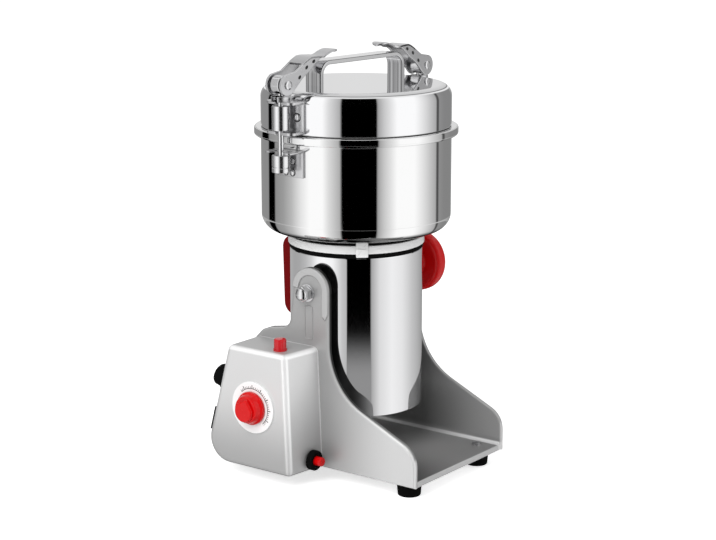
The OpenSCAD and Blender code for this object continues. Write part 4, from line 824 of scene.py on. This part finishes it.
def band_shape():
    """Clamping band with its clasp, which sits left of the front."""
    low, high = BAND_Z
    band = hoop([(55.6, low), (BAND_R, low, 0.7), (BAND_R, high, 0.7), (55.6, high)], 192, 5)
    clasp = slab(oblong(-5, 5, 191.3, 204.8, 0.8, 4), 57.0, 60.1, 0.6)
    rib = slab(oblong(-5, 5, 197.6, 199.0, 0.4, 3), 59.8, 60.4, 0.3)
    return joined(band, spun(across(joined(clasp, rib)), CLASP_TURN))


def lid_handle_shape(length=106, height=23, width=17, thick=3.6, bend=12):
    """Flat bar carried up, round a quarter, along, round a quarter and down."""
    half = (length - thick) / 2
    top = height - thick / 2
    bend_middle = bend - thick / 2
    line = rounded([(-half, 0), (-half, top, bend_middle), (half, top, bend_middle), (half, 0)], False, 14)
    leg = line[:1] + (line[1:2] - line[:1]) * np.linspace(0, 1, 5)[:, None]
    line = np.vstack([leg, line[2:]])
    path = np.column_stack([line[:, 0], np.zeros(len(line)), LID_Z[1] + line[:, 1]])
    return spun(carried(bar_section(width, thick, 0.9), path, (0, 1, 0)), LATCH_TURNS["left"])


piece("bowl_shell", bowl_shape(), "bowl_steel", "tilting_head", "bowl")
piece("lid_shell", lid_shape(), "polished_steel", "lid", "lid")
piece("barrel_shell", barrel_shape(), "polished_steel", "tilting_head", "motor_barrel")
# Black rubber rings which also paint the shade in the gaps under and over the clamping band
piece("barrel_seal_rings_gap_shade", joined(seal(BARREL_Z[1], BAND_Z[0], 0.9), seal(BAND_Z[1], BOWL_Z[0], 1.1)),
      "black_rubber", "tilting_head", "barrel_seals")
piece("clamping_band", band_shape(), "band_white", "tilting_head", "barrel_band")
piece("lid_handle_bar", lid_handle_shape(), "handle_steel", "lid", "lid_handle")


# Latches

def latch_sheet(width, low, high, edge=0.5):
    """Sheet bent round the axis: at arc s from its middle it runs between the sheets' inner radius and
    its thickness beyond, its sides are half rounds, and its end rings are drawn in to ease the rims."""
    w = width / 2 - edge
    mid = SHEET / 2
    s = np.linspace(-w, w, 25)
    t = np.radians(np.linspace(-90, 90, 7))[1:-1]
    ring_s = np.concatenate([s, w + edge * np.cos(t), s[::-1], -w - edge * np.cos(t)])
    ring_r = np.concatenate([np.full(25, -mid), mid * np.sin(t), np.full(25, mid), -mid * np.sin(t)])
    z = np.array([low, low + 0.4, high - 0.4, high])[:, None]
    shrink = np.array([0.35, 0, 0, 0.35])[:, None]
    r = SHEET_R[0] + mid + ring_r[None] * (1 - shrink)
    a = ring_s[None] * (1 - shrink * 0.02) / SHEET_R[0]
    points = np.stack([-r * np.cos(a), r * np.sin(a), np.broadcast_to(z, r.shape)], -1)
    return from_axis((points.reshape(-1, 3), capped(4, len(ring_s))))


def from_sheet(front, w, low, high, edge):
    """Flat tongue of half width w, from inside the bent sheet out round the given front."""
    root = LATCH_R - math.sqrt((SHEET_R[1] - 1)**2 - w**2) + 1.2
    return slab(np.vstack([[[root, -w]], front, [[root, w]]]), low, high, edge, 3)


def flange(low, reach=3.7, w=15.0, slot=3.0, thick=2.4):
    """Tongue with a slot open outward for the rod."""
    half = rounded([(10, -w), (-reach, -w, 5.0), (-reach, -slot, 0.8), (0, -slot)], False)[1:-1]
    return from_sheet(np.vstack([half, arc(0, 0, slot, -90, 90), half[::-1] * np.array([1, -1])]), w, low,
                      low + thick, 0.45)


def bracket_shape():
    """Bent back sheet, two slotted flanges and the slotted collar under the lever."""
    low, high = BRACKET_Z
    collar = np.vstack([arc(0, 0, 7.8, 158, -158, 40), arc(0, 0, 3, -90, 90)])
    return joined(latch_sheet(30, low, high), flange(low), flange(high - 2.4),
                  slab(collar, high - 0.2, high + 4.2, 0.5, 4))


def catch_shape():
    """Bent sheet riveted to the bowl, with the lip that the round nut hooks under."""
    w = 14.0
    front = rounded([(10, -w), (-5.6, -w, 3), (-5.6, -8.2, 0.8), (5.5, -8.2, 2), (5.5, 8.2, 2),
                     (-5.6, 8.2, 0.8), (-5.6, w, 3), (10, w)], False)[1:-1]
    return joined(latch_sheet(2 * w, CATCH_Z, LIP_Z[1]), from_sheet(front, w, *LIP_Z, 0.4))


def rod_shape():
    """Eye on the pin, rod, loose sleeve and round nut, all turned, with the eye laid across."""
    low, high = NUT_Z
    rod = solid([(0, low), (2.5, low), (2.5, PIN_Z), (0, PIN_Z)], 40)
    sleeve = solid([(0, SLEEVE_Z[0]), (7.2, SLEEVE_Z[0], 0.8), (7.2, SLEEVE_Z[1], 0.8),
                    (0, SLEEVE_Z[1])], 72, 5)
    nut = solid([(0, low), (7.5, low, 1.0), (7.5, 267.6), (7.1, 268.0), (7.1, 268.6), (7.5, 269.0),
                 (7.5, high, 1.0), (0, high)], 72, 5)
    eye = solid([(0, -4.5), (7.6, -4.5, 0.8), (7.6, 4.5, 0.8), (0, 4.5)], 48, 4)
    return joined(rod, sleeve, nut, along_y(eye, 0, 0, PIN_Z))


# Upper and lower edge of a lever over its length, from the pin
LEVER_TOP = [(8.3, 10.2), (12.8, 12.8), (17.9, 16.0), (23.7, 19.2), (29.4, 20.8), (42.2, 20.2), (46.7, 21.1),
             (51.8, 23.0), (57.6, 24.3), (62.1, 23.7), (64.0, 22.7)]
LEVER_LOW = [(37.8, 17.9), (32.6, 14.7), (26.9, 9.9), (17.9, 4.5), (11.5, -1.0)]
# Oval holes of a cheek: place from the pin and turn in degrees
LEVER_HOLES = [(13.4, 5.2, 40), (21.6, 12.4, 40), (30.0, 16.6, 25)]


def lever_shape():
    """Two cheeks round the pin, joined by a bent strap that narrows into a rounded tongue."""
    cheek = np.vstack([[[-2.6, 8.4]], flowing(LEVER_TOP[:6]), flowing(LEVER_LOW),
                       arc(0, 0, 8.8, -44, -252, 28)])
    cheeks = [swapped(slab(cheek, y, y + SHEET, 0.5, 3), (0, 2, 1)) for y in (-CHEEK_Y, CHEEK_Y - SHEET)]
    line = flowing(LEVER_TOP[2:], 8)
    x = line[:, 0]
    neck_x, tongue_y, tip_x, tip_r = 42.2, 7.0, 57.0, 7.0
    narrowing = np.clip((x - neck_x) / 4, 0, 1)
    half = CHEEK_Y - (CHEEK_Y - tongue_y) * narrowing**2 * (3 - 2 * narrowing)
    to_tip = np.clip((x - tip_x) / tip_r, 0, 1)
    half = half * np.sqrt(np.maximum(1 - to_tip**2, 0.004))
    path = np.column_stack([x, np.zeros(len(x)), line[:, 1] - SHEET / 2])
    strap = carried(bar_section(2.0, SHEET, 0.45), path, (0, 1, 0), half)
    return moved(joined(*cheeks, strap), 0, 0, PIN_Z)


def lever_hole_shades():
    """Oval holes along each cheek, as dark dished discs just proud of the cheek, which paint the shade inside
    the holes.
    """
    dish = solid([(0, 0.02), (1.5, 0.06), (1.7, 0.0), (0, -0.2)], 28)
    oval = swapped(dish, (0, 1, 2), (1.15, 0.8, 1.0))
    return joined(*[moved(swapped(spun(oval, turn), (0, 2, 1), (1, way, 1)), x, way * CHEEK_Y, PIN_Z + z)
                    for x, z, turn in LEVER_HOLES for way in (-1, 1)])


def pin_shape():
    """Pin across the cheeks, with a domed head at each end."""
    head = rounded([(0, CHEEK_Y), (3.8, CHEEK_Y, 0.3), (3.8, 9.5, 0.7), (2.2, 9.9, 0.5), (0, 9.9)], False, 4)
    profile = np.vstack([head[:0:-1], [[2.4, CHEEK_Y], [2.4, -CHEEK_Y]], head[1:] * np.array([1, -1.0])])
    return along_y(turned(profile, 48, False), 0, 0, PIN_Z)


def rivet_head(r, h):
    """Domed head of radius r and height h."""
    return solid([(0, h), (r * 0.45, h * 0.93), (r * 0.75, h * 0.7), (r * 0.95, h * 0.3), (r, 0), (r, -0.3),
                  (0, -0.3)], 32)


def rivet_shade_ring(r):
    """Flat dark ring round a head of radius r, which paints the shade in the gap round the head."""
    return hoop([(r - 0.2, 0.06), (r + 0.55, 0.06), (r + 0.55, -0.2), (r - 0.2, -0.2)], 32)


def at_rivets(shape, places):
    """One copy of the shape at each rivet, pointing out of the bent sheet at arc y and height z."""
    return joined(*[at_latch(from_axis(spun(along_x(shape, -SHEET_R[1], 0, z, -1),
                                            -math.degrees(y / SHEET_R[1]))), side)
                    for side, y, z in places])


def at_both(shape):
    """One copy of the shape at each latch."""
    return joined(*[at_latch(shape, side) for side in LATCH_TURNS])


for side in LATCH_TURNS:
    lever = side + "_lever"
    piece(side + "_lever_sheet", at_latch(lever_shape(), side), "satin_sheet", lever,
          side + "_latch_lever")
    # Painted shade inside the cheeks' holes
    piece(side + "_lever_hole_shades", at_latch(lever_hole_shades(), side), "hole_dark", lever)
    piece(side + "_lever_pin", at_latch(pin_shape(), side), "fitting_steel", lever,
          side + "_latch_pin")
    piece(side + "_rod_set", at_latch(rod_shape(), side), "rod_steel", side + "_latch_rod",
          side + "_latch_rod")

piece("lid_latch_brackets", at_both(bracket_shape()), "satin_sheet", "lid", "latch_brackets")
piece("lid_bracket_rivets", at_rivets(rivet_head(3.3, 1.3), BRACKET_RIVETS), "fitting_steel", "lid",
      "bracket_rivets")
# Painted shade round the lid's rivet heads
piece("lid_rivet_shade_rings", at_rivets(rivet_shade_ring(3.3), BRACKET_RIVETS), "hole_dark", "lid")
piece("bowl_latch_catches", at_both(catch_shape()), "satin_sheet", "tilting_head",
      "latch_catches")
piece("bowl_catch_rivets", at_rivets(rivet_head(2.6, 1.1), CATCH_RIVETS), "fitting_steel", "tilting_head",
      "catch_rivets")
# Painted shade round the bowl's rivet heads
piece("bowl_rivet_shade_rings", at_rivets(rivet_shade_ring(2.6), CATCH_RIVETS), "hole_dark", "tilting_head")


# Base casting

def plate_outline():
    """Side plate in Y and Z: front corner, slope, hollow, ear, shoulder and back edge."""
    front, back = BASE_Y
    slope = 24.6
    lean = math.radians(slope)
    corner_r, hollow_r = 20.0, 57.0
    corner_y, corner_z = front + corner_r, 29.5
    slope_y = corner_y - corner_r * math.sin(lean)
    slope_z = corner_z + corner_r * math.cos(lean)
    hollow_y = EAR_Y - EAR_R - hollow_r
    hollow_z = slope_z + (hollow_y - slope_y) * math.tan(lean) + hollow_r / math.cos(lean)
    return np.vstack([
        [[front, BASE_Z]], arc(corner_y, corner_z, corner_r, 180, 90 + slope, 16),
        arc(hollow_y, hollow_z, hollow_r, slope - 90, 0, 28), arc(EAR_Y, EAR_Z, EAR_R, 180, 0, 40),
        arc(28.5, 136.5, 9, 180, 265),
        rounded([(30, 127.4), (40, 125.5, 8), (50, 121.5, 8), (57, 114.5, 8), (back, 84.5, 10), (back, 60)],
                False)[1:-1],
        [[back, BASE_Z]]])


def ear_rim():
    """Raised rim round the ear, down its front edge to a pointed foot."""
    outer, inner = EAR_Y - EAR_R, EAR_Y - EAR_IN_R
    foot_line = rounded([(outer, 146), (-18.25, 138.5, 1.0), (inner, 141.75, 0.5), (inner, 150)], False)
    return np.vstack([arc(EAR_Y, EAR_Z, EAR_R, 0, 180, 32), [[outer, 145.0]], foot_line[1:-1],
                      arc(EAR_Y, EAR_Z, EAR_IN_R, 180, 0, 28)])


def fillet(way, r=4.0):
    """Hollow round between floor and plate: a quarter circle, centred r off both, carried along Y."""
    t = np.radians(np.linspace(-90, 0, 9))
    inner, sunk = PLATE_X[0], 1
    x = np.concatenate([inner - r + r * np.cos(t), [inner + sunk, inner + sunk]])
    z = np.concatenate([FLOOR_Z + r + r * np.sin(t), [FLOOR_Z + r, FLOOR_Z - sunk]])
    y = np.array([BASE_Y[0] + 1.5, 73.9])[:, None]
    points = np.stack(np.broadcast_arrays(way * x, y, z), -1).reshape(-1, 3)
    return points, capped(2, len(x))


def recess_bead(way):
    """Fine raised edge round the long recess in the neck."""
    path = oblong(-5, 3, 121.5, 149.5, 2.0, 5)
    line = np.column_stack([np.full(len(path), PLATE_X[1]), path])
    return swapped(ringed(arc(0, 0, 0.55, 0, 330, 11), line, (1, 0, 0)), (0, 1, 2), (way, 1, 1))


def base_shape():
    """Two side plates with rim, boss, fillet and bead, the floor between them and the low back wall."""
    inner, outer = PLATE_X
    into_plate = inner + 0.5
    wall_z, wall_y = (14, 41), (74, BASE_Y[1])
    boss = hoop([(4.1, 0), (14.5, 0), (14.5, 4.4, 1.0), (4.1, 4.4)], 64, 4)
    parts = []
    for way in (-1, 1):
        parts += [across(slab(plate_outline(), inner, outer, edge=2.6, steps=8, low_edge=1.2), way),
                  across(slab(ear_rim(), outer - 0.8, outer + 1.2, edge=1.1, steps=5), way),
                  along_x(boss, way * BOSS_X, 0, PIVOT_Z, -way), fillet(way), recess_bead(way)]
    floor = slab(oblong(-into_plate, into_plate, *BASE_Y), BASE_Z, FLOOR_Z, edge=1.2)
    wall = slab(oblong(-into_plate, into_plate, *wall_z), -wall_y[1], -wall_y[0], edge=1.0)
    return joined(*parts, floor, swapped(wall, (0, 2, 1), (1, -1, 1)))


piece("base_casting_skin", base_shape(), "casting_paint", "base", "base_casting")

foot = solid([(0, 0), (9.5, 0, 1.2), (10.5, BASE_Z, 0.4), (0, BASE_Z)], 72, 5)
piece("rubber_feet_turned", joined(*[moved(foot, x, y, 0) for x in (-50, 50) for y in (-92, 61)]),
      "black_rubber", "base", "rubber_feet")


# Control box

def box_cover():
    """Cover drawn as rings from its outer face to the plate: the outline in Y and Z is drawn in by the
    edge round near the outer face, and moves forward by the flare towards the plate, all of it at the
    front and none at the back."""
    outline = clean(rounded([(BOX_FRONT[0], BOX_TOP, 5), (BOX_FRONT[1], BASE_Z, 5),
                             (BOX_BACK[1], BASE_Z, 20), (BOX_BACK[0], BOX_TOP, 5)], steps=12))
    t = np.radians(np.linspace(90, 0, 11))
    insets = np.concatenate([[BOX_EDGE + 0.3], BOX_EDGE * (1 - np.cos(t)), [0, 0]])
    x = np.concatenate([[-BOX_X], -BOX_X + BOX_EDGE * (1 - np.sin(t)), [-85, -66.8]])
    rings = []
    for inset, at in zip(insets, x):
        ring = drawn_in(outline, inset)
        forward = BOX_FLARE * (at + BOX_X) / (BOX_X - PLATE_X[1])
        share = np.clip((55.8 - ring[:, 0]) / 62.0, 0, 1)
        y = ring[:, 0] - forward * share
        rings.append(np.column_stack([np.full(len(ring), at), y, ring[:, 1]]))
    return np.vstack(rings), capped(len(rings), len(outline))


def timer_knob_shape():
    """Turned skirt with a drop-shaped grip, whose tip leans 15 degrees towards the front."""
    skirt = solid([(0, 0), (14, 0, 0.5), (14, 3, 0.8), (12.5, 4.5, 0.6), (11, 9, 1.2), (0, 9)], 96, 5)
    grip = slab(np.vstack([arc(-1, 0, 9, 65, 295, 32), arc(8, 0, 2, -60, 60, 10)]), 3, 12, 1.6, 6)
    knob = swapped(joined(skirt, spun(grip, -15)), (2, 1, 0), (-1, 1, 1))
    return moved(knob, -BOX_X - 1.9, *DIAL)


def lens_shape():
    """Ribbed cap: the radius swells with the cosine of 16 times the turn."""
    low, high = LENS_Z
    radius, ribs, groove, turns = 5.2, 16, 0.035, 128
    profile = rounded([(0, low), (radius, low), (radius, high, 1.4), (0, high)], False)
    side = [[radius, z] for z in (119, 121, 123)]
    profile = np.vstack([profile[:2], side, profile[2:]])
    a = np.linspace(0, 2 * np.pi, turns, endpoint=False)[:, None]
    r = profile[None, :, 0] * (1 - groove * (0.5 - 0.5 * np.cos(ribs * a)))
    z = profile[None, :, 1]
    points = np.stack(np.broadcast_arrays(r * np.cos(a), r * np.sin(a), z), -1).reshape(-1, 3)
    return moved((points, net(turns, len(profile), True, False)), *LAMP, 0)


dial_plate = solid([(0, 0), (22, 0), (22, 1.6, 0.5), (0, 1.6)], 96, 4)
collar = joined(hoop([(4.0, 0), (8.5, 0), (8.5, -5, 1.2), (5.6, -5, 0.6), (4.0, -4)], 72, 5),
                solid([(0, 20), (6.4, 20), (6.4, 0), (0, 0)], 48))
button = solid([(0, -11), (3.8, -11, 0.9), (3.8, 4), (0, 4)], 48, 6)
piece("control_box_cover", box_cover(), "cast_paint", "base", "control_box")
piece("timer_dial_plate", along_x(dial_plate, -BOX_X, *DIAL, -1), "white_dial", "base",
      "timer_dial")
piece("timer_knob_moulding", timer_knob_shape(), "red_plastic", "timer_knob", "timer_knob")
piece("pilot_lamp_lens", lens_shape(), "lamp_red", "base", "lamp_lens")
piece("breaker_collar", along_y(collar, *BREAKER), "black_plastic", "base", "breaker_body")
piece("breaker_reset_button", along_y(button, *BREAKER), "red_plastic", "breaker_button",
      "breaker_button")


# Pivot bolt, lock knob and rear handle

def bolt_shape():
    """Washer, hexagon 12 mm across its flats with its edges rounded, the domed end and the stud."""
    washer = solid([(0, 0), (7.5, 0), (7.5, 1.5, 0.4), (0, 1.5)], 64, 4)
    corner = 12 / math.sqrt(3)
    turns = [math.radians(60 * k) for k in range(6)]
    hexagon = rounded([(corner * math.cos(a), corner * math.sin(a), 0.6) for a in turns], steps=3)
    t = np.radians(np.linspace(0, 90, 13))
    dome = np.vstack([[[0, 8]], [[5.5, 8]], np.stack([5.5 * np.cos(t), 8.5 + 3.5 * np.sin(t)], 1)])
    stud = solid([(0, -20), (4, -20), (4, 1), (0, 1)], 32)
    return joined(washer, slab(hexagon, 1.5, 8.5, 0.7, 4), turned(dome, 48, False), stud)


def lock_knob_shape():
    """Turned hand knob: neck, hub, full round rim and dished face."""
    return solid([(0, 0), (7, 0), (7, 3, 0.5), (11, 3, 0.6), (11, 17, 2.0), (27, 17, 5.5), (27, 31, 6.0),
                  (16, 31, 5), (10, 27, 4), (0, 27)], 128, 10)


def rear_handle_shape():
    """Bow of 11 mm by 16 mm section with full rounded edges, from the barrel's wall at the top, round
    two corners and back to the wall at its foot. Its path lies in the plane through the axis."""
    half, bend, wall = 5.5, 5.0, 57.2
    low, high = REAR_HANDLE_Z[0] + half, REAR_HANDLE_Z[1] - half
    path = rounded([(wall, high), (84 - half, high, bend), (82 - half, low, bend), (wall, low)], False, 10)
    path = np.vstack([path[:1], (path[:1] + path[1:2]) / 2, path[1:-1], (path[-2:-1] + path[-1:]) / 2,
                      path[-1:]])
    line = np.column_stack([path[:, 0], np.zeros(len(path)), path[:, 1]])
    return spun(carried(bar_section(16, 2 * half, 1.3), line, (0, 1, 0)), REAR_HANDLE_TURN)


piece("pivot_bolt_turned", along_x(bolt_shape(), -PLATE_X[1], 0, PIVOT_Z, -1), "fitting_steel", "base",
      "pivot_bolt")
piece("lock_knob_moulding", along_x(lock_knob_shape(), KNOB_X, 0, PIVOT_Z), "red_plastic", "lock_knob",
      "lock_knob")
# Its darker red is a shaded copy of the red moulding: painted shade
piece("rear_handle_moulding", rear_handle_shape(), "deep_red", "tilting_head", "rear_handle")


# Studio: pale floor, soft light all round, with grey and black cards that polished steel mirrors

# Camera's side of the object, as a turn about Z from X in degrees
CAMERA_TURN = 216.85

# Brightness of the studio's cards, by the turn of the upright face that mirrors them, in degrees from
# the camera's side
STUDIO_ROUND = [
    (-86, 0.40), (-80, 0.28), (-66, 0.28), (-65, 0.0), (-58, 0.0), (-57, 0.28), (-49, 0.36),
    (-42, 0.53), (-35, 0.85), (-29, 1.07), (-20.5, 1.07), (-16.5, 0.78), (-9.4, 0.45), (-8.9, 0.0),
    (12.2, 0.0), (12.8, 0.38), (16.5, 0.62), (20.5, 0.82), (25, 1.07), (37, 1.07), (43, 0.86),
    (49.5, 0.62), (55.6, 0.43), (56.6, 0.08), (58.3, 0.08), (59.2, 0.29), (66, 0.25), (80, 0.24),
    (86, 0.40),
]
# The same for upright faces lower down, which see the cards' feet
STUDIO_FEET = [
    (-86, 0.46), (-66, 0.4), (-58, 0.42), (-49, 0.52), (-42, 0.68), (-35, 1.0), (-29, 1.07), (-20.5, 1.0),
    (-12, 0.6), (-8.2, 0.52), (-7.8, 0.0), (12.2, 0.0), (12.8, 0.4), (20.5, 0.78), (32, 0.95), (43, 0.86),
    (56, 0.6), (80, 0.3),
]
# Brightness by the lean of the face that mirrors it, from face down to face up: share of the cards'
# level, with the floor's shade below, and the ceiling with the cards' dark upper frame
STUDIO_UP = [(-90, 0.05), (-52, 0.05), (-34, 1.0), (90, 1.0)]
CEILING = [(-90, 0.9), (46, 0.9), (51, 0.86), (53, 0.2), (55, 0.2), (58, 0.62), (72, 0.7), (90, 0.76)]


def lay_floor(half=6.0):
    """Square floor, pale to the eye and to glass, which takes shadows and isn't mirrored itself."""
    material, tree, main = shader("pale_floor", Roughness=0.9, Specular_IOR_Level=0.0)
    main.inputs["Base Color"].default_value = (0.9, 0.9, 0.9, 1)
    main.inputs["Emission Color"].default_value = (1, 1, 1, 1)
    rays = add(tree, "LightPath").outputs
    seen = most(tree, rays["Is Camera Ray"], rays["Is Glossy Ray"], rays["Is Transmission Ray"])
    join(tree, times(tree, seen, 0.6), main.inputs["Emission Strength"])
    mesh = bpy.data.meshes.new("studio_floor")
    corners = [(-half, -half, 0), (half, -half, 0), (half, half, 0), (-half, half, 0)]
    mesh.from_pydata(corners, [], [(0, 1, 2, 3)])
    mesh.materials.append(material)
    floor = bpy.data.objects.new("studio_floor", mesh)
    bpy.context.scene.collection.objects.link(floor)
    floor.visible_glossy = False


def level_at(tree, angle, stops):
    """Grey level at an angle from -90 to 90 degrees, on straight lines between (degrees, level)."""
    ramp = add(tree, "ValToRGB", Fac=plus(tree, maths(tree, "DIVIDE", angle, 180.0), 0.5))
    ramp.color_ramp.interpolation = "LINEAR"
    made = ramp.color_ramp.elements
    for i, (degrees, level) in enumerate(stops):
        position = degrees / 180 + 0.5
        stop = made[i] if i < 2 else made.new(position)
        stop.position = position
        stop.color = (level, level, level, 1)
    return ramp.outputs["Color"]


def build_world():
    """Background by the ray's direction: cameras see white, matt surfaces an even pale grey, and
    mirrors the cards. A card's place is given by the face that mirrors it: the sum of the ray and the
    fixed way back to the camera's side halves the angle between them, as a mirror's normal does."""
    world = bpy.data.worlds.new("studio")
    bpy.context.scene.world = world
    world.use_nodes = True
    tree = world.node_tree
    tree.nodes.clear()
    ray = add(tree, "TexCoord").outputs["Generated"]
    half = add(tree, "VectorMath", {"operation": "ADD"}, Vector=ray)
    back_turn = math.radians(CAMERA_TURN)
    back_rise = math.radians(10.0)
    half.inputs[1].default_value = (math.cos(back_turn) * math.cos(back_rise),
                                    math.sin(back_turn) * math.cos(back_rise), math.sin(back_rise))
    unit = add(tree, "VectorMath", {"operation": "NORMALIZE"}, Vector=half.outputs[0])
    face_x, face_y, face_z = split(tree, unit.outputs[0])
    turn = maths(tree, "DEGREES", maths(tree, "ARCTAN2", face_y, face_x))
    turn = maths(tree, "WRAP", minus(tree, turn, CAMERA_TURN), 180, -180)
    lean = maths(tree, "DEGREES", maths(tree, "ARCSINE", face_z))
    _, _, rise = split(tree, ray)
    feet = blend(tree, 1.0, level_at(tree, turn, STUDIO_FEET), ranged(tree, rise, -0.252, -0.275, 0.0, 0.3),
                 "LIGHTEN")
    window = times(tree, ranged(tree, rise, -0.200, -0.206, 0.0, 1.0),
                   ranged(tree, rise, -0.315, -0.305, 0.0, 1.0))
    cards = blend(tree, window, level_at(tree, turn, STUDIO_ROUND), feet)
    cards = blend(tree, 1.0, cards, level_at(tree, lean, STUDIO_UP), "MULTIPLY")
    mirror = blend(tree, ranged(tree, lean, 42.0, 46.0, 0.0, 1.0), cards, level_at(tree, lean, CEILING))
    rays = add(tree, "LightPath").outputs
    lit = blend(tree, rays["Is Glossy Ray"], 0.55, mirror)
    seen = blend(tree, most(tree, rays["Is Camera Ray"], rays["Is Transmission Ray"]), lit, 1.0)
    back = add(tree, "Background", Color=seen)
    out = add(tree, "OutputWorld")
    join(tree, back.outputs["Background"], out.inputs["Surface"])


def facing(way):
    """Turn that points a lamp's or camera's own -Z along the given way."""
    return Vector(way).to_track_quat("-Z", "Y").to_euler()


def hang_lamp(name, place, size, watts):
    """Square lamp that faces the object's middle; matt surfaces take its light and mirrors don't
    show it."""
    light = bpy.data.lights.new(name, "AREA")
    light.shape = "SQUARE"
    light.size = size
    light.energy = watts
    lamp = bpy.data.objects.new(name, light)
    bpy.context.scene.collection.objects.link(lamp)
    lamp.location = place
    lamp.rotation_euler = facing(np.array([0, 0, 0.15]) - np.array(place))
    lamp.visible_glossy = False


def set_camera():
    """Camera at the photograph's place: 53.15 degrees round from the left, looking 12.76 degrees down,
    1.61 m from its target."""
    turn = math.radians(53.1515)
    tilt = math.radians(12.7589)
    forward = np.array([math.sin(turn) * math.cos(tilt), math.cos(turn) * math.cos(tilt), -math.sin(tilt)])
    target = np.array([2.446 + AXIS_X, AXIS_Y, 167.187]) * MM
    data = bpy.data.cameras.new("product_camera")
    data.sensor_width = 36
    data.lens = 94.88
    camera = bpy.data.objects.new("product_camera", data)
    bpy.context.scene.collection.objects.link(camera)
    camera.location = target - 1.6108 * forward
    camera.rotation_euler = facing(forward)
    bpy.context.scene.camera = camera


lay_floor()
build_world()
hang_lamp("key_lamp", (-1.5, -0.25, 1.35), 1.2, 26)
hang_lamp("fill_lamp", (0.9, -1.9, 1.1), 1.4, 10)
set_camera()
bpy.context.scene.view_settings.view_transform = "Standard"
